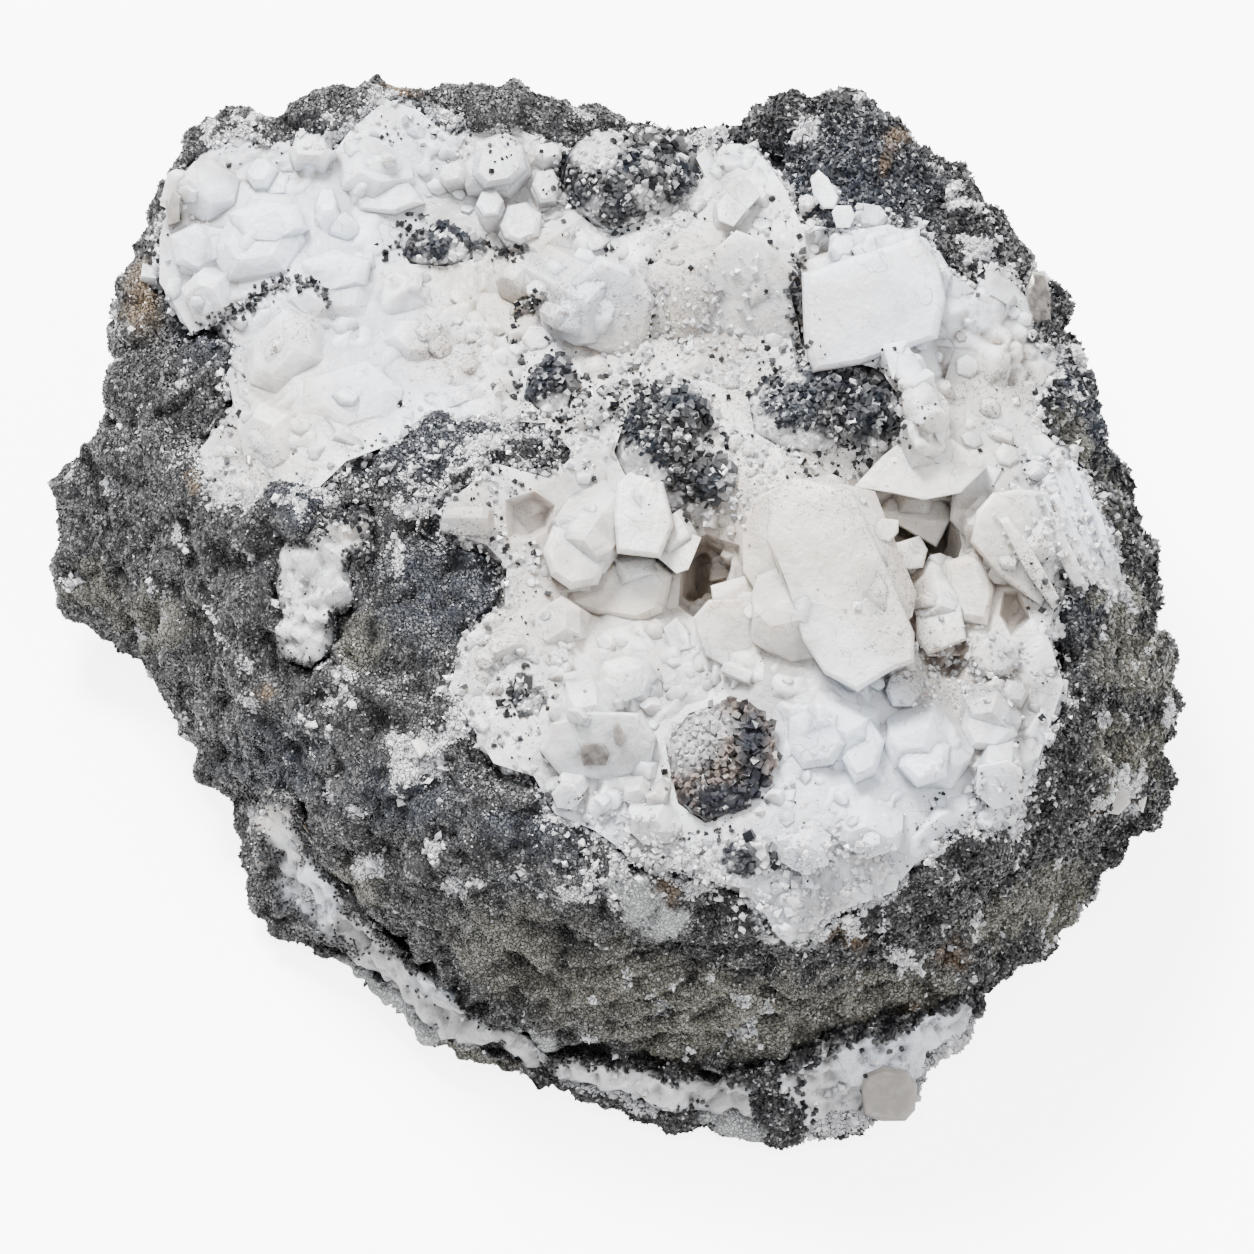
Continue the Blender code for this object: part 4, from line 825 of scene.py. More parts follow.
CRUST_STAINS = {         # soft spots of each, as on the rock
    # Beige is partly the crust's own colour and partly painted shade in the hollows between
    # crystals
    "beige_and_shade": [
        (523, 520, 34, 26, 20), (712, 580, 30, 44), (590, 605, 40, 14), (640, 610, 34, 12, 10),
        (880, 525, 30, 26), (940, 652, 34, 16), (905, 590, 14, 34, 20), (1000, 600, 20, 30),
        (545, 245, 18, 14), (420, 345, 14, 20), (450, 360, 26, 14), (172, 208, 12, 20),
        (760, 560, 30, 120, 20), (880, 590, 14, 80, 22), (700, 300, 40, 50), (800, 300, 10, 50),
        (620, 350, 60, 20, 20), (500, 300, 40, 30), (1025, 430, 14, 12), (975, 560, 24, 30),
        (480, 500, 20, 20), (320, 560, 30, 30), (700, 770, 40, 24, 30),
    ],
    "bluish": [
        (290, 240, 90, 70), (880, 310, 80, 60), (400, 370, 70, 60), (860, 740, 90, 60),
        (900, 800, 80, 40), (600, 300, 60, 40), (860, 690, 22, 20), (1080, 510, 24, 60, 30),
        (420, 130, 26, 40), (780, 860, 50, 30), (590, 830, 40, 20, 20),
    ],
    "grey": [
        (395, 130, 26, 34, 30), (250, 158, 40, 10, 10), (740, 725, 40, 30, 30), (1000, 270, 22, 20),
        (500, 180, 40, 30), (650, 690, 60, 20), (1010, 690, 40, 50), (560, 430, 70, 24, 20),
        (640, 860, 60, 20), (470, 510, 24, 30), (720, 330, 30, 50, 30), (690, 290, 24, 20),
        (750, 350, 18, 24), (950, 700, 50, 30), (1050, 590, 24, 30),
    ],
    "warm": [
        (770, 550, 170, 150), (960, 540, 120, 150), (570, 600, 110, 100), (470, 330, 80, 60),
        (710, 310, 90, 80), (560, 430, 70, 50), (300, 430, 90, 60), (1000, 400, 60, 60),
    ],
    "dusty": [
        (690, 300, 60, 60), (740, 350, 30, 40), (470, 255, 60, 20), (560, 400, 60, 40),
        (760, 470, 120, 50), (760, 400, 130, 30), (480, 620, 50, 120), (520, 690, 30, 30),
        (700, 860, 120, 30), (960, 680, 80, 30), (900, 600, 30, 60, 20), (450, 350, 40, 40),
        (290, 340, 60, 14, 30), (640, 200, 80, 40), (1000, 400, 60, 40), (1030, 560, 40, 40, 40),
        (500, 140, 24, 24), (240, 480, 50, 40), (560, 300, 60, 30),
    ],
}

# A small crystal's rings of corners from its end back: distance back and scale, in widths
PRISM_RINGS = ((0, 0.74), (0.09, 0.93), (0.26, 1.0), (1.5, 0.94))


def ring_faces(count):
    """The faces of a closed form of four rings of corners, one behind the other."""
    last = 3 * count
    faces = [(0, k, k + 1) for k in range(1, count - 1)]
    faces += [(last, last + k + 1, last + k) for k in range(1, count - 1)]
    for first in range(0, last, count):
        for k in range(count):
            after = (k + 1) % count
            faces += [(first + k, first + count + k, first + count + after),
                      (first + k, first + count + after, first + after)]
    return np.array(faces)


def prism(end, axis, width, length, spin):
    """A six-sided crystal with a blunt end, from its end face back along its axis."""
    axis = axis / np.linalg.norm(axis)
    side = np.cross(axis, (0.3, 1.0, 0.2))
    side /= np.linalg.norm(side)
    other = np.cross(axis, side)
    random = np.random.default_rng(int(1000 * spin))
    slope = random.uniform(-0.35, 0.35, 2)
    narrow = random.uniform(0.7, 1.0)
    wide = random.uniform(0.86, 1.14, 6)
    points = []
    for back, scale in PRISM_RINGS:
        for corner in range(6):
            turn = math.tau * corner / 6 + spin
            reach = np.array([math.cos(turn), math.sin(turn) * narrow])
            reach *= width / 2 * scale * wide[corner]
            drop = min(back * width, length) + (slope @ reach if back < 0.3 else 0)
            points.append(end - axis * drop + side * reach[0] + other * reach[1])
    return Surface(np.array(points), ring_faces(6))


def leaning(lean, toward):
    """A direction that leans away from the viewer's by an angle, toward a side of the picture."""
    lean, toward = math.radians(lean), math.radians(toward)
    across = np.array([math.cos(toward), 0, 0]) + PICTURE_UP * math.sin(toward)
    return TOWARD_VIEWER * math.cos(lean) + across * math.sin(lean)


BEFORE_ALL = 150         # mm toward the viewer, past all of the specimen


def seen_point(tree, x, y):
    """Where the line of sight through a pixel first meets a solid, in millimetres, if it does."""
    start = PICTURE_MIDDLE + np.array([(x - MIDDLE_PX) / PX, 0, 0])
    start = start + PICTURE_UP * (MIDDLE_PX - y) / PX + TOWARD_VIEWER * BEFORE_ALL
    hit = tree.ray_cast(Vector(start), Vector(-TOWARD_VIEWER))[0]
    return None if hit is None else np.array(hit)


def sharp_edges(node, angle):
    """Points 0.6 mm apart along a CAD solid's outward edges that are sharper than an angle."""
    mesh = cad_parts[node].data
    # its faces don't share corners, so those in one place, to 0.01 mm, are taken as one
    places = [tuple(round(1e5 * value) for value in vertex.co) for vertex in mesh.vertices]
    owners = {}
    for face in mesh.polygons:
        for a, b in face.edge_keys:
            owners.setdefault(frozenset((places[a], places[b])), []).append((face, a, b))
    found = []
    for pair in owners.values():
        if len(pair) != 2:
            continue
        (one, a, b), (two, _, _) = pair
        if one.normal.angle(two.normal, 0) < angle or (two.center - one.center).dot(one.normal) > 0:
            continue
        start, end = 1000 * mesh.vertices[a].co, 1000 * mesh.vertices[b].co
        steps = max(1, math.ceil((end - start).length / 0.6))
        found += [start.lerp(end, k / steps) for k in range(steps + 1)]
    return found


def traced(tree, outline, lift, lean, toward, dome, depth=6.0):
    """A crystal whose end face has an outline in pixels, standing over the solid it grew on."""
    outline = np.array(outline, float)
    after = np.roll(outline, -1, axis=0)
    if np.sum(outline[:, 0] * after[:, 1] - after[:, 0] * outline[:, 1]) > 0:
        outline = outline[::-1]
    middle = outline.mean(axis=0)
    foot = seen_point(tree, *middle)
    axis = leaning(lean, toward)
    flat = ((outline - middle) * (1, -1) / PX) @ np.stack([(1, 0, 0), PICTURE_UP])
    width = 2 * np.linalg.norm(flat, axis=1).mean()
    rise = -(flat @ axis) / (TOWARD_VIEWER @ axis)
    rings = [foot + flat * scale + TOWARD_VIEWER * (lift - drop * width + share * rise)[:, None]
             for scale, drop, share in ((1 - 0.36 * dome, 0, 1), (1 - 0.1 * dome, 0.09 * dome, 1),
                                        (1, 0.26 * dome, 1), (1, depth / width, 0))]
    return Surface(np.concatenate(rings), ring_faces(len(outline)))


def distance_to(points, targets):
    """Distance from each point to the nearest target."""
    tree = KDTree(len(targets))
    for number, target in enumerate(targets):
        tree.insert(target, number)
    tree.balance()
    return np.array([tree.find(point)[2] for point in points])


def spaced(places, sizes):
    """Which places to keep so that none lies within another's size of it."""
    kept = []
    held = {}
    for number, (place, size) in enumerate(zip(places, sizes)):
        cell = tuple(int(value // CROWD_SIZES[1]) for value in place)
        around = [other for step in itertools.product((-1, 0, 1), repeat=3)
                  for other in held.get(tuple(a + b for a, b in zip(cell, step)), ())]
        if all(np.linalg.norm(place - places[other]) > CROWD_GAP * (size + sizes[other])
               for other in around):
            kept.append(number)
            held.setdefault(cell, []).append(number)
    return np.array(kept)


def bevel(width, angle):
    """A modifier that rounds the edges that turn by more than an angle."""
    return "BEVEL", {"width": width, "segments": 2, "limit_method": "ANGLE", "angle_limit": angle}


# The solid's own faces, with narrow rounded edges, stand out of the bed where the crust is
# crisp. They are left out where it is to be smooth.
crystal_edges = sharp_edges("crystal_crust", SHARP_EDGE)
solid_crust = solid_of("crystal_crust")
crisp = modified(solid_crust, ("WELD", {"merge_threshold": 0.001}), bevel(0.22, SHARP_EDGE))
middles = crisp.points[crisp.faces].mean(axis=1)
crisp.faces = crisp.faces[blots(pixels_of(middles), SMOOTH_PLACES) < 0.5]

# The bed is smoothed and gets lumps in bulk, away from the crisp edges: knobs with cracks
# between them, and large and small blocks. It swells where it borders on the rock.
bed = even_surface(solid_crust, CRUST_GRAIN)
bed_hidden = bed.covered("matrix_rock")
pixels = pixels_of(bed.points)
bulk = unit((distance_to(bed.points, crystal_edges) - 0.6) / 1.6)
bulk *= 1 - blots(pixels, CRISP_PLACES)
bulk = np.maximum(bulk, blots(pixels, SMOOTH_PLACES))
bed.relax(20, bulk)
envelope = Surface(bed.points.copy(), bed.faces)
envelope.relax(80)
envelope_tree = tree_of(envelope)
bed_tree = tree_of(bed)
place = swayed(bed.points, 4.0, 0.8, 5)
near, second = pebbles(place, 6.5, 60)
knobs = 1.4 * (0.5 - near)
cracks = 0.5 * (second - near < 0.05)
large = 1.3 * blocks(place, 4.4, 64)
small = 0.6 * blocks(place, 2.2, 74) + 0.3
relief = (knobs - cracks + large + small) * bulk - BED_SINK * (1 - bulk)
border = bed.nearness("matrix_rock", 2.0)
relief += border * (0.2 + 1.1 * np.maximum(swells(bed.points, 2.6, 15, 2), 0))
bed.points += bed.normals() * (relief * ~bed_hidden)[:, None]
bed.relax(1)

# Small crystals crowd where there is room between the large ones
taken = [(*np.mean(outline, axis=0), *(0.42 * np.ptp(outline, axis=0)))
         for outline, *_ in TRACED_CRYSTALS]
pixels = pixels_of(bed.points)
room = (0.15 + 0.85 * bulk) * ~bed_hidden * (1 - blots(pixels, taken + BARE_FACES))
room *= 1 - 0.75 * blots(pixels, CALM_PLACES + SMOOTH_PLACES)
places, outward, _ = scatter(bed, CROWD_TRIES * CROWD, room, 5)
random = np.random.default_rng(6)
coarse = blots(pixels_of(places), COARSE_CROWD)
sizes = CROWD_SIZES[0] + (CROWD_SIZES[1] - CROWD_SIZES[0]) * (
    0.3 * coarse + (0.5 + 0.2 * coarse) * random.random(len(places)) ** 1.8)
crystals = []
for number in spaced(places, sizes)[:CROWD]:
    axis = outward[number] + 0.5 * TOWARD_VIEWER + 0.45 * random.normal(size=3)
    size = sizes[number]
    stand = size * random.uniform(0.02, 0.4)
    crystals.append(prism(places[number] + outward[number] * stand, axis, size, 1.5 * size,
                          random.uniform(0, math.tau)))
crust_tree = tree_of(joined([solid_crust, solid_of("matrix_rock")]))
ends = modified(joined([traced(crust_tree, *end) for end in TRACED_CRYSTALS]),
                bevel(0.2, math.radians(15)))
for number, (x, y, width, length, lean, toward) in enumerate(SMALL_CRYSTALS):
    end = seen_point(crust_tree, x, y) + TOWARD_VIEWER * width * 0.3
    crystals.append(prism(end, leaning(lean, toward), width, length, number * 1.7))


def height_over(tree, points):
    """How far points stand above the nearest place of a surface, in millimetres."""
    heights = []
    for point in map(Vector, points):
        foot, normal, _, _ = tree.find_nearest(point)
        heights.append((point - foot).dot(normal))
    return np.array(heights)


def crust_marks(surface, crevice_shade):
    """The crust's stains, and painted shade in its hollows and crevices, at a surface's points, as
    named values from 0 to 1.
    """
    pixels = pixels_of(surface.points)
    ragged = ragged_shift(surface.points, 3.0, 16)
    marks = {name: blots(pixels + (2 if name == "warm" else 1) * ragged, spots)
             for name, spots in CRUST_STAINS.items()}
    # Painted shade: points sunk below the smoothed envelope are darkened as hollows
    sunk = 0.1 - height_over(envelope_tree, surface.points) / 1.5
    return {**marks, "crevice_shade": crevice_shade, "rocky": np.zeros(len(pixels)),
            "hollow_shade": unit(sunk)}


# Thin dark specks, and broken hairlines along cracks
specks, given, gives = new_group("specks", {"Size": 0.5, "Share": 0.2}, ("Specks",))
limit = reckon(specks, "MULTIPLY_ADD", given["Share"], -0.2, 0.74)
spotty = noise(specks, given["Size"], 2.0, 0.5, 1.5)
feed(specks, gives, {"Specks": steep(specks, spotty, limit, 20.0)})

hairlines, given, gives = new_group("hairlines", {"Size": 4.0, "Width": 0.02}, ("Lines",))
where = wandering(hairlines, 500.0, 0.0025)
edge = cells(hairlines, where, given["Size"], "Distance", feature="DISTANCE_TO_EDGE")
breaks = steep(hairlines, noise(hairlines, 3.0), 0.52, 8.0)
thin = reckon(hairlines, "LESS_THAN", edge, given["Width"])
feed(hairlines, gives, {"Lines": reckon(hairlines, "MULTIPLY", thin, breaks)})


def white_material(name, light, dark, crevice_shade):
    """Milky mineral with cloudy tones, dust and hairlines, and painted shade darkening its hollows
    and crevices.
    """
    material, tree, shader = new_material(name)
    cloud = (0.50, 0.505, 0.52, 1)
    shade = tint(tree, mark(tree, "warm"), light, (0.80, 0.77, 0.735, 1))
    shade = tint(tree, steep(tree, noise(tree, 1.5, 3.0), 0.54, 4.0), shade, cloud, 0.4)
    shade = tint(tree, steep(tree, noise(tree, 5.0, 4.0), 0.42, 3.5), dark, shade)
    shade = tint(tree, steep(tree, noise(tree, 0.45, 2.0), 0.58, 6.0), shade, cloud, 0.3)
    # Painted shade for hollows: warm brown where the crust is warm, grey elsewhere
    depth = tint(tree, mark(tree, "warm"), (0.22, 0.22, 0.225, 1), (0.27, 0.21, 0.16, 1))
    # The hollow and crevice stains below are painted shade; the last is the rock's own dark colour
    # at the crust's border
    shade = stained(tree, shade, [("bluish", (0.73, 0.79, 0.89, 1), 0.8),
                                  ("grey", (0.27, 0.275, 0.29, 1), 0.6),
                                  ("beige_and_shade", (0.45, 0.375, 0.30, 1), 0.6),
                                  ("dusty", (0.42, 0.375, 0.33, 1), 0.35),
                                  ("hollow_shade", depth, 0.7), ("crevice_shade", crevice_shade, 0.75),
                                  ("rocky", (0.03, 0.03, 0.031, 1), 0.95)])
    lines = placed(tree, hairlines, {"Size": 5.0, "Width": 0.012})[0]
    shade = tint(tree, lines, shade, (0.20, 0.17, 0.15, 1), 0.5)
    share = reckon(tree, "MULTIPLY_ADD", mark(tree, "dusty"), 0.8, 0.1)
    dots = placed(tree, specks, {"Size": 0.4, "Share": share})[0]
    shade = tint(tree, dots, shade, (0.13, 0.115, 0.11, 1), 0.8)
    sugar = noise(tree, 0.45, 2.0, 0.7)
    feed(tree, shader, {"Base Color": shade,
                        "Roughness": reckon(tree, "MULTIPLY_ADD", sugar, 0.3, 0.25),
                        "Subsurface Weight": 0.5, "Subsurface Radius": (1.0, 0.8, 0.62),
                        "Subsurface Scale": 0.002})
    relief = reckon(tree, "MULTIPLY_ADD", noise(tree, 2.4, 2.0), 3.0, sugar)
    bump(tree, shader, relief, 0.14, 0.8)
    return material


def ragged_rim(near, points, least, waver, size, seed, slope=3):
    """1 where nearness to a neighbour is past a wavering limit, 0 where it is short of it."""
    return unit(slope * (near - least + waver * swells(points, size, seed, 2)))


# Its colours: light, darker cloud, and the painted shade of crevices
milky = white_material("milky_tarnowitzite", (0.77, 0.785, 0.81, 1), (0.40, 0.39, 0.38, 1),
                       (0.22, 0.185, 0.155, 1))
# Painted shade: the bed's crevices darkened by how deep they lie
bed_marks = crust_marks(bed, unit(bed.hollowness(6) / 0.25))
rim = unit(border + 0.8 * swells(bed.points, 2.4, 85, 2) - 0.3)
bed_marks["grey"] = np.maximum(bed_marks["grey"], 0.9 * rim)
bed_marks["rocky"] = ragged_rim(border, bed.points, 0.7, 0.5, 1.6, 88, slope=4)
add_piece("crystal_crust_bed", bed, milky, ["crystal_crust"], bed_marks,
          bed_hidden)
crowd = joined([crisp, ends, *crystals])
# Painted shade: crystals darkened near where they stand on the bed
crevice_shade = unit((0.25 - height_over(bed_tree, crowd.points)) / 0.5)
crevice_shade[:len(crisp.points) + len(ends.points)] *= 0.3    # faint round the large crystals
add_piece("crystal_crust_crystals", crowd, milky,
          marks=crust_marks(crowd, crevice_shade), crease=50)

# Galena specks on the crust
# Dark grains of galena, a few tenths of a millimetre to a millimetre, grew on the white
# crystals and lie thickest beside the rock and round the druse patches.
SPECKS_ON_CRUST = [
    (540, 380, 40, 20, 20), (560, 420, 36, 36), (690, 285, 18, 16), (740, 345, 16, 26),
    (965, 838, 50, 14, -10), (724, 310, 12, 12), (760, 380, 30, 14), (655, 380, 30, 10),
    (618, 400, 12, 20), (495, 155, 12, 10), (470, 240, 36, 10), (412, 243, 10, 12),
    (880, 420, 20, 20), (900, 400, 10, 20), (595, 155, 28, 24), (650, 150, 46, 22),
    (600, 210, 28, 10), (560, 800, 26, 12), (500, 470, 56, 12, 20), (700, 866, 56, 14),
    (640, 860, 36, 14), (820, 884, 44, 12), (735, 720, 18, 26), (1000, 790, 26, 18),
    (1056, 600, 18, 18), (1044, 690, 10, 26), (514, 560, 12, 20), (508, 600, 10, 18),
    (452, 660, 10, 18), (470, 700, 10, 16), (700, 470, 30, 40), (650, 420, 50, 40),
    (712, 396, 7, 5), (735, 415, 6, 5), (835, 410, 84, 44), (545, 388, 36, 30), (625, 180, 74, 50),
    (748, 852, 26, 24), (523, 694, 18, 22), (440, 240, 46, 14), (720, 765, 56, 60),
    (753, 290, 14, 14), (735, 335, 14, 12), (690, 275, 14, 10),
]
DARK_LINES = [           # where specks stand in a row between two lobes of the crust
    [(200, 336), (208, 331), (224, 318), (251, 302), (264, 291), (283, 284), (292, 283), (315, 283),
     (328, 300)],
    [(495, 252), (510, 257), (524, 250)], [(512, 315), (524, 306), (535, 304), (537, 290)],
    [(802, 252), (792, 290), (796, 330), (803, 368)],
]
SEAM_STEP_PX = 1.0       # pixels from one speck of such a row to the next
SPECKS = 9000


def unstained(surface):
    """The marks of grains, all 0, for a surface's points."""
    return {name: np.zeros(len(surface.points)) for name in (*STAINS, "white")}


crust = joined([bed, crowd])
pixels = pixels_of(crust.points)
near_rock = crust.nearness("matrix_rock", 1.6)
density = 2 * blots(pixels + ragged_shift(crust.points, 3.0, 10), SPECKS_ON_CRUST) ** 2
density += ragged_rim(near_rock, crust.points, 0.5, 0.5, 2.4, 91)
density += 0.001                 # a few anywhere
above_bed = height_over(bed_tree, crust.points) > -0.05
above_bed[:len(bed.points)] &= ~bed_hidden
density *= above_bed
places, outward, owners = scatter(crust, SPECKS, density, 11)
sizes = 0.22 + 0.6 * np.random.default_rng(12).random(SPECKS) ** 3
sizes *= 0.55 + 0.45 * unit(density[owners])
crust_top = tree_of(crust)
random = np.random.default_rng(15)
rows = [seen_point(crust_top, *(start + share * np.subtract(end, start) + random.normal(0, 4, 2)))
        for line in DARK_LINES for start, end in zip(line, line[1:])
        for share in np.arange(0, 1, SEAM_STEP_PX / math.dist(start, end))]
rows = [row for row in rows if row is not None]
places = np.concatenate([places, rows])
outward = np.concatenate([outward, np.tile(TOWARD_VIEWER, (len(rows), 1))])
owners = np.concatenate([owners, np.zeros(len(rows), dtype=int)])
sizes = np.concatenate([sizes, random.uniform(0.25, 0.85, len(rows))])
add_piece("galena_specks", grains(OCTAHEDRON, places, outward, sizes, 13),
          dark_grains, marks=grain_marks(unstained(crust), places, owners, 6, 14), crease=0)

# Galena druse patches
# Seven patches where galena and sphalerite cubes of one to two millimetres grew thickly over
# the crust, dark and bright-faced, thinning into the white at their ragged edges.
PATCHES = {
    "galena_patch_top": [(560, 163), (591, 143), (624, 147), (667, 138), (692, 160), (684, 190),
                         (664, 200), (640, 218), (610, 224), (590, 206), (566, 200)],
    "galena_patch_upper_left": [(402, 236), (412, 226), (430, 234), (478, 228), (482, 242),
                                (440, 250), (416, 262), (404, 254)],
    "galena_patch_ridge_end": [(525, 381), (546, 363), (571, 368), (574, 401), (553, 401),
                               (535, 412), (524, 401)],
    "galena_patch_centre_left": [(617, 391), (648, 386), (673, 388), (699, 401), (686, 424),
                                 (688, 434), (709, 434), (722, 460), (724, 483), (714, 503),
                                 (683, 493), (673, 473), (658, 452), (632, 439), (614, 429),
                                 (612, 406)],
    "galena_patch_centre_right": [(760, 371), (788, 381), (826, 378), (864, 373), (892, 378),
                                  (900, 404), (903, 424), (887, 434), (872, 452), (847, 447),
                                  (821, 447), (793, 434), (785, 419), (762, 409), (757, 391)],
    "galena_patch_low_left": [(512, 690), (520, 676), (533, 682), (536, 700), (524, 712),
                              (514, 706)],
    "galena_patch_low_right": [(732, 845), (742, 834), (762, 840), (766, 858), (748, 870),
                               (734, 862)],
}
SINGLE_CUBES = 2400
CUBES_ON_CRUST = [
    (600, 175, 26, 22), (650, 165, 36, 20), (440, 240, 36, 10), (545, 388, 30, 24),
    (560, 430, 30, 20), (650, 410, 40, 26), (700, 470, 24, 30), (835, 410, 80, 36),
    (690, 285, 14, 12), (735, 350, 14, 14), (760, 385, 20, 10), (497, 150, 16, 18),
    (523, 694, 14, 16), (748, 852, 20, 20), (745, 735, 20, 26), (720, 800, 34, 14),
    (880, 890, 14, 12), (500, 470, 50, 12, 20), (1056, 590, 18, 24), (415, 240, 10, 16),
]
WHITE_IN_PATCHES = [(599, 158, 22, 17), (642, 198, 18, 13), (600, 200, 10, 8), (672, 395, 8, 6),
                    (700, 445, 10, 8)]
PALE_CUBES = {"galena_patch_top": 0.2, "galena_patch_centre_left": 0.12}   # share of them
FEW_PALE = 0.05          # share of them in the other patches
PATCH_GRAIN = 0.4        # spacing of a patch's points, mm
PATCH_COVER = 1.2        # how thickly cubes cover it, 1 for side by side
PATCH_SUNK = 0.5         # how far a patch's white edge drops, mm
CUBE = (np.array(list(itertools.product((-0.62, 0.62), repeat=3))),
        np.array([(0, 1, 3), (0, 3, 2), (4, 6, 7), (4, 7, 5), (0, 4, 5), (0, 5, 1), (2, 3, 7),
                  (2, 7, 6), (0, 2, 6), (0, 6, 4), (1, 5, 7), (1, 7, 3)]))


def druse(node, shape, least, pale, seed):
    """A patch's lumpy ground with cubes of a least size on it, and the marks of both."""
    ground = even_surface(solid_of(node), PATCH_GRAIN)
    ground.relax(3)
    pixels = pixels_of(ground.points)
    ragged = ragged_shift(ground.points, 1.8, 18, (seed, seed + 9))
    inside = unit((inside_outline(pixels + ragged, shape) + 0.4) / 0.8)
    inside *= 1 - blots(pixels + 0.5 * ragged, WHITE_IN_PATCHES)
    near, _ = pebbles(ground.points, 1.3, seed)
    lift = 0.5 * (0.5 - near) + 0.3
    ground.points += ground.normals() * lift[:, None]
    ground.points -= TOWARD_VIEWER * (PATCH_SUNK * unit(1 - 2 * inside))[:, None]
    top = unit(ground.normals() @ TOWARD_VIEWER) * (0.3 + 0.7 * inside)
    areas = np.linalg.norm(ground.face_turns(), axis=1) * top[ground.faces].mean(axis=1)
    count = int(PATCH_COVER * (0.5 * np.sum(areas)) / least ** 2)
    places, outward, owners = scatter(ground, count, top, seed)
    random = np.random.default_rng(seed)
    sizes = least + 0.9 * random.random(count) ** 2
    patch = joined([ground, grains(CUBE, places, outward, sizes, seed)])
    marks = unstained(patch)
    tone = [random.random(len(ground.points)) ** 2, np.repeat(random.random(count), 8)]
    marks["tone"] = np.concatenate(tone) ** 1.3
    marks["blue"] = 0.8 * unit(2 * swells(patch.points, 3.0, seed + 3) + 0.6)
    pale_cubes = np.maximum(0.7 * (random.random(count) < pale), inside[owners] < 0.4)
    marks["white"] = np.concatenate([unit(1.5 - 3 * inside), np.repeat(pale_cubes, 8)])
    return patch, marks


for seed, (node, shape) in enumerate(PATCHES.items(), 21):
    patch, marks = druse(node, shape, 0.5, PALE_CUBES.get(node, FEW_PALE), seed)
    add_piece(node + "_surface", patch, dark_grains, [node], marks, crease=0)

# Single cubes round the patches and in small groups on the crust
ragged = ragged_shift(crust.points, 1.8, 14, (44, 54))
density = 0.6 * unit(3 * blots(pixels + ragged, CUBES_ON_CRUST) - 1.8)
for shape in PATCHES.values():
    density += unit(1.4 + inside_outline(pixels + ragged, shape) / 0.7)
density += 0.15 * ragged_rim(near_rock, crust.points, 0.7, 0.6, 2.4, 92)
density *= above_bed * unit(crust.normals() @ TOWARD_VIEWER + 0.2)
places, outward, owners = scatter(crust, SINGLE_CUBES, density, 24)
sizes = 0.3 + 0.65 * np.random.default_rng(25).random(SINGLE_CUBES) ** 2
marks = grain_marks(unstained(crust), places, owners, 8, 27)
marks["tone"] **= 2
add_piece("galena_cubes", grains(CUBE, places, outward, sizes, 26), dark_grains,
          marks=marks, crease=0)

# Sphalerite patch
# Brown sphalerite under a greyish see-through veil, with black grains along its right side.
SPHALERITE = [(664, 745), (690, 715), (735, 700), (770, 706), (774, 760), (770, 800), (740, 818),
              (700, 815), (684, 790), (670, 775)]
VEIL = [(690, 740, 30, 22, 40), (705, 722, 26, 14)]
BLACK_SIDE = [(750, 735, 14, 26), (725, 798, 34, 16, 10), (755, 780, 12, 24)]

brown_grains = grain_material("sphalerite_grains", (0.02, 0.016, 0.015, 1), (0.24, 0.19, 0.165, 1),
                              (0.55, 0.52, 0.50, 1), 0.35, 0.0)
patch, marks = druse("sphalerite_patch_low", SPHALERITE, 0.6, 0, 41)
marks["white"] = 0.7 * blots(pixels_of(patch.points), VEIL)
marks["blue"] = blots(pixels_of(patch.points), BLACK_SIDE)
marks["tone"] *= 1 - marks["blue"]
add_piece("sphalerite_patch_low_surface", patch, brown_grains,
          ["sphalerite_patch_low"], marks, crease=0)

# Calcite vein and pocket
# White sugary calcite fills a vein under the rock's front edge and a shallow pocket at the
# left. The vein is glassy and grey at the left and whiter, with dark grains, at the right.
VEIN_BLUISH = [(312, 900, 30, 30, -40), (430, 986, 24, 14, -20), (900, 1040, 60, 30, 20)]
VEIN_BEIGE = [(275, 820, 16, 20), (350, 530, 26, 16)]
VEIN_DARK = [(775, 1105, 24, 24), (700, 1108, 20, 8)]
FILLING_GRAIN = 0.45     # spacing of the surfaces' points, mm

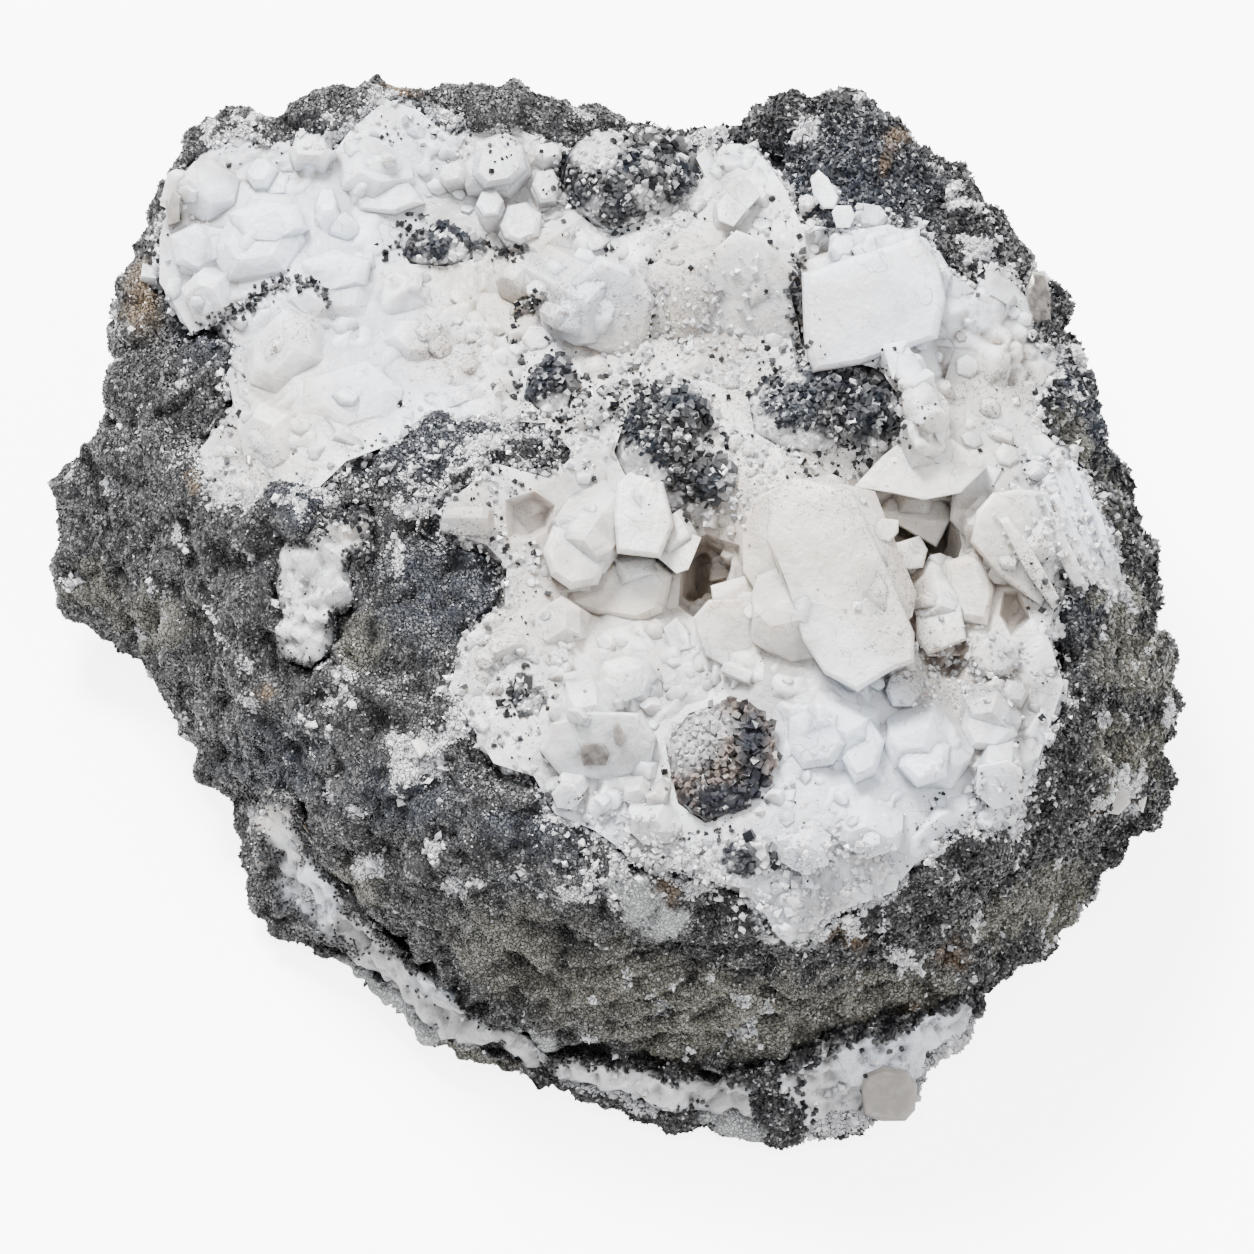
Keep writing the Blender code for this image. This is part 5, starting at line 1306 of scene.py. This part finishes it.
# Its last colour is the painted shade of crevices
calcite = white_material("sugary_calcite", (0.78, 0.79, 0.81, 1), (0.42, 0.43, 0.45, 1),
                         (0.22, 0.21, 0.20, 1))
fillings = []
for node, grains_count, seed in (("calcite_vein", 3200, 51), ("calcite_pocket", 500, 52)):
    filling = even_surface(solid_of(node), FILLING_GRAIN)
    filling.relax(4)
    facets = 0.9 * blocks(filling.points, 1.7, seed)
    fine = 0.4 * swells(filling.points, 1.1, seed, 2)
    broad = 0.8 * swells(filling.points, 4.0, seed + 3, 2)
    relief = (facets + fine + 0.2 + broad) * unit(filling.points[:, 2])
    filling.points += filling.normals() * relief[:, None]
    filling.relax(1)
    pixels = pixels_of(filling.points)
    ragged = ragged_shift(filling.points, 2.4, 12)
    zero = np.zeros(len(pixels))
    white = within_any(pixels + 0.5 * ragged, WHITE_AREAS)
    glassy = within_any(pixels + 0.5 * ragged, GLASSY_AREAS)
    marks = {"warm": zero, "beige_and_shade": blots(pixels + ragged, VEIN_BEIGE),
             "bluish": blots(pixels + ragged, VEIN_BLUISH),
             "grey": np.maximum(glassy, np.clip(swells(filling.points, 2.0, seed + 5, 3), 0, 0.8)),
             "rocky": 1 - np.maximum(white, glassy), "dusty": zero + 0.3,
             # Painted shade: crevices and hollows darkened by how deep they lie
             "crevice_shade": unit(filling.hollowness(4) / 0.25),
             "hollow_shade": unit((filling.hollowness(30) - 0.1) / 1.0)}
    add_piece(node + "_surface", filling, calcite, [node], marks, crease=20)
    fillings.append(filling)
    facing = unit(filling.normals() @ TOWARD_VIEWER + 0.3)
    density = facing * (marks["rocky"] ** 2 + 0.5 * blots(pixels + ragged, VEIN_DARK) + 0.005)
    places, outward, owners = scatter(filling, grains_count, density, seed)
    sizes = 0.28 + 0.6 * np.random.default_rng(seed).random(grains_count) ** 2
    add_piece(node + "_grains", grains(OCTAHEDRON, places, outward, sizes, seed),
              dark_grains, marks=grain_marks(unstained(filling), places, owners, 6, seed), crease=0)

# Glassy crystals
# A few clear or smoky crystals sit among the others: a beige block at the end of the vein, a
# brown one in the crust's lower left, a lens on the right rim and small ones under it.
GLASSY_CRYSTALS = [      # as the traced crystals, then tone from smoky to clear
    ([(859, 1085), (863, 1070), (882, 1063), (906, 1068), (916, 1082), (914, 1108), (904, 1119),
      (880, 1119), (863, 1112)], 1.5, 20, 300, 0.6, 0.35),
    ([(580, 752), (584, 742), (604, 742), (610, 752), (606, 764), (584, 764)],
     1.2, 10, 300, 0.3, 0.1),
    ([(613, 728), (618, 721), (626, 735), (622, 746), (614, 738)], 1.1, 10, 300, 0.3, 0.25),
    ([(1024, 292), (1031, 272), (1044, 274), (1053, 300), (1050, 326), (1040, 334), (1029, 315)],
     1.0, 30, 20, 0.9, 0.1),
    ([(834, 372), (838, 364), (850, 362), (861, 368), (858, 378), (842, 380)],
     0.9, 20, 270, 0.8, 0.6),
    ([(1096, 800), (1104, 784), (1122, 786), (1128, 802), (1116, 814), (1102, 812)],
     0.5, 30, 320, 0.6, 0.5),
    ([(1126, 792), (1136, 786), (1146, 796), (1142, 812), (1130, 810)], 0.5, 30, 340, 0.6, 0.9),
    ([(412, 740), (424, 736), (432, 748), (422, 758)], 0.6, 20, 90, 0.6, 0.8),
    ([(165, 200), (172, 188), (182, 196), (180, 222), (168, 226)], 0.4, 30, 180, 0.6, 0.3),
    ([(247, 458), (252, 454), (260, 457), (259, 466), (250, 467)], 0.2, 20, 90, 0.6, 0.1),
]
smoky, tree, shader = new_material("smoky_calcite")
shade = tint(tree, mark(tree, "tone"), (0.02, 0.014, 0.011, 1), (0.74, 0.70, 0.66, 1))
clouds = steep(tree, noise(tree, 1.0, 3.0), 0.5, 5.0)
feed(tree, shader, {"Base Color": tint(tree, clouds, shade, (0.50, 0.46, 0.42, 1), 0.25),
                    "Roughness": 0.22, "Subsurface Weight": 0.5,
                    "Subsurface Radius": (1.0, 0.85, 0.7), "Subsurface Scale": 0.002})
bump(tree, shader, noise(tree, 0.8, 2.0), 0.1, 0.6)
ground = joined([crust, rock, *fillings])
glassy_tree = tree_of(ground)
glassy = [traced(glassy_tree, *crystal, depth=3.0) for *crystal, _ in GLASSY_CRYSTALS]
tone = np.concatenate([np.full(len(crystal.points), entry[-1])
                       for crystal, entry in zip(glassy, GLASSY_CRYSTALS)])
add_piece("glassy_crystals", joined(glassy), smoky, marks={"tone": tone}, crease=40)

# Sugary carbonate crumbs
# Fine white crumbs fill the borders between crust and rock and cover the sugary places, where
# their faces flash.
SUGARY = [
    (790, 440, 60, 34), (700, 470, 24, 30), (570, 655, 18, 14), (830, 850, 56, 30),
    (620, 840, 60, 30), (960, 670, 50, 30), (700, 870, 90, 30), (720, 500, 30, 20),
    (600, 185, 40, 34), (655, 195, 26, 24), (1070, 520, 30, 70, 30), (680, 330, 60, 50),
    (560, 420, 60, 40), (1000, 800, 40, 30), (430, 460, 60, 24, 25), (780, 900, 90, 24),
]
CRUMBS = 12000

crumb_material, tree, shader = new_material("sugary_carbonate")
shade = tint(tree, mark(tree, "tone"), (0.28, 0.28, 0.30, 1), (0.80, 0.80, 0.81, 1))
feed(tree, shader, {"Base Color": shade, "Roughness": 0.25})
pixels = pixels_of(ground.points)
on_filling = slice(len(crust.points) + len(rock.points), None)
on_rock = slice(len(crust.points), on_filling.start)
border = np.concatenate([near_rock, 0.8 * rock.nearness("crystal_crust", 1.8),
                         np.full(len(pixels[on_filling]), 0.5)])
density = blots(pixels, SUGARY)
density += 0.9 * ragged_rim(border, ground.points, 0.5, 0.5, 2.2, 95)
density[on_filling] *= within_any(pixels[on_filling], WHITE_AREAS)
density[on_rock] += 1.2 * rock_marks["white"] ** 2
density[on_rock] *= open_rock
density[:len(bed.points)] *= ~bed_hidden
density *= unit(ground.normals() @ TOWARD_VIEWER + 0.4)
places, outward, _ = scatter(ground, CRUMBS, density, 17)
random = np.random.default_rng(18)
crumbs = grains(OCTAHEDRON, places, outward, 0.25 + 0.8 * random.random(CRUMBS) ** 2.5, 19)
crumbs.points[:, 2] = np.maximum(crumbs.points[:, 2], 0.0)
add_piece("carbonate_crumbs", crumbs, crumb_material,
          marks={"tone": np.repeat(random.random(CRUMBS), 6)}, crease=0)

# Table, lights and camera
# The specimen lies on a plain white table under large soft lights, seen from the front and
# 60 degrees up through a long lens.
TABLE_REACH = 3.0        # m from the middle to each side
TABLE_GLOW = 5.5         # makes it white to the camera, without lighting the specimen
table_mesh = bpy.data.meshes.new("table")
table_mesh.from_pydata([(-TABLE_REACH, -TABLE_REACH, 0), (TABLE_REACH, -TABLE_REACH, 0),
                        (TABLE_REACH, TABLE_REACH, 0), (-TABLE_REACH, TABLE_REACH, 0)],
                       [], [(0, 1, 2, 3)])
table = new_object("table", table_mesh)
table_white, tree, shader = new_material("white_table")
camera_sees = wire(tree, "ShaderNodeLightPath", {}).outputs["Is Camera Ray"]
seen_glow = reckon(tree, "MULTIPLY", camera_sees, TABLE_GLOW)
feed(tree, shader, {"Base Color": (0.9, 0.9, 0.9, 1), "Roughness": 0.8,
                    "Emission Color": (1, 1, 1, 1), "Emission Strength": seen_glow})
table_mesh.materials.append(table_white)

world = bpy.data.worlds.new("studio")
world.use_nodes = True
sky = world.node_tree.nodes["Background"]
feed(world.node_tree, sky, {"Color": (0.97, 0.98, 1.0, 1), "Strength": 0.55})
bpy.context.scene.world = world

LIT_PLACE = (0, 0, 0.02)     # m, the middle of the specimen
# Each light's place and size in metres, and its power in watts
for name, place, size, power in (("key", (-0.25, 0.45, 0.85), 0.3, 37),
                                 ("fill", (0.6, -0.3, 0.8), 0.6, 8),
                                 ("glint", (-0.15, -0.25, 1.2), 0.06, 5)):
    panel = bpy.data.lights.new(name, "AREA")
    panel.size = size
    panel.energy = power
    lamp = new_object(name, panel)
    lamp.location = place
    away = Vector(place) - Vector(LIT_PLACE)
    lamp.rotation_euler = away.to_track_quat("Z", "Y").to_euler()

CAMERA_AWAY = 3.0        # m
SEEN_WIDTH = 0.1254      # m across the picture at the specimen's middle height
MIDDLE_DEPTH = 0.02      # m from the resting surface toward the camera
camera = bpy.data.cameras.new("camera")
camera.lens = camera.sensor_width * CAMERA_AWAY / SEEN_WIDTH
camera.clip_start = 0.1
camera.clip_end = 20
viewer = new_object("camera", camera)
toward = Vector(TOWARD_VIEWER)
viewer.location = Vector(PICTURE_MIDDLE / 1000) + toward * (CAMERA_AWAY + MIDDLE_DEPTH)
viewer.rotation_euler = toward.to_track_quat("Z", "Y").to_euler()
bpy.context.scene.camera = viewer
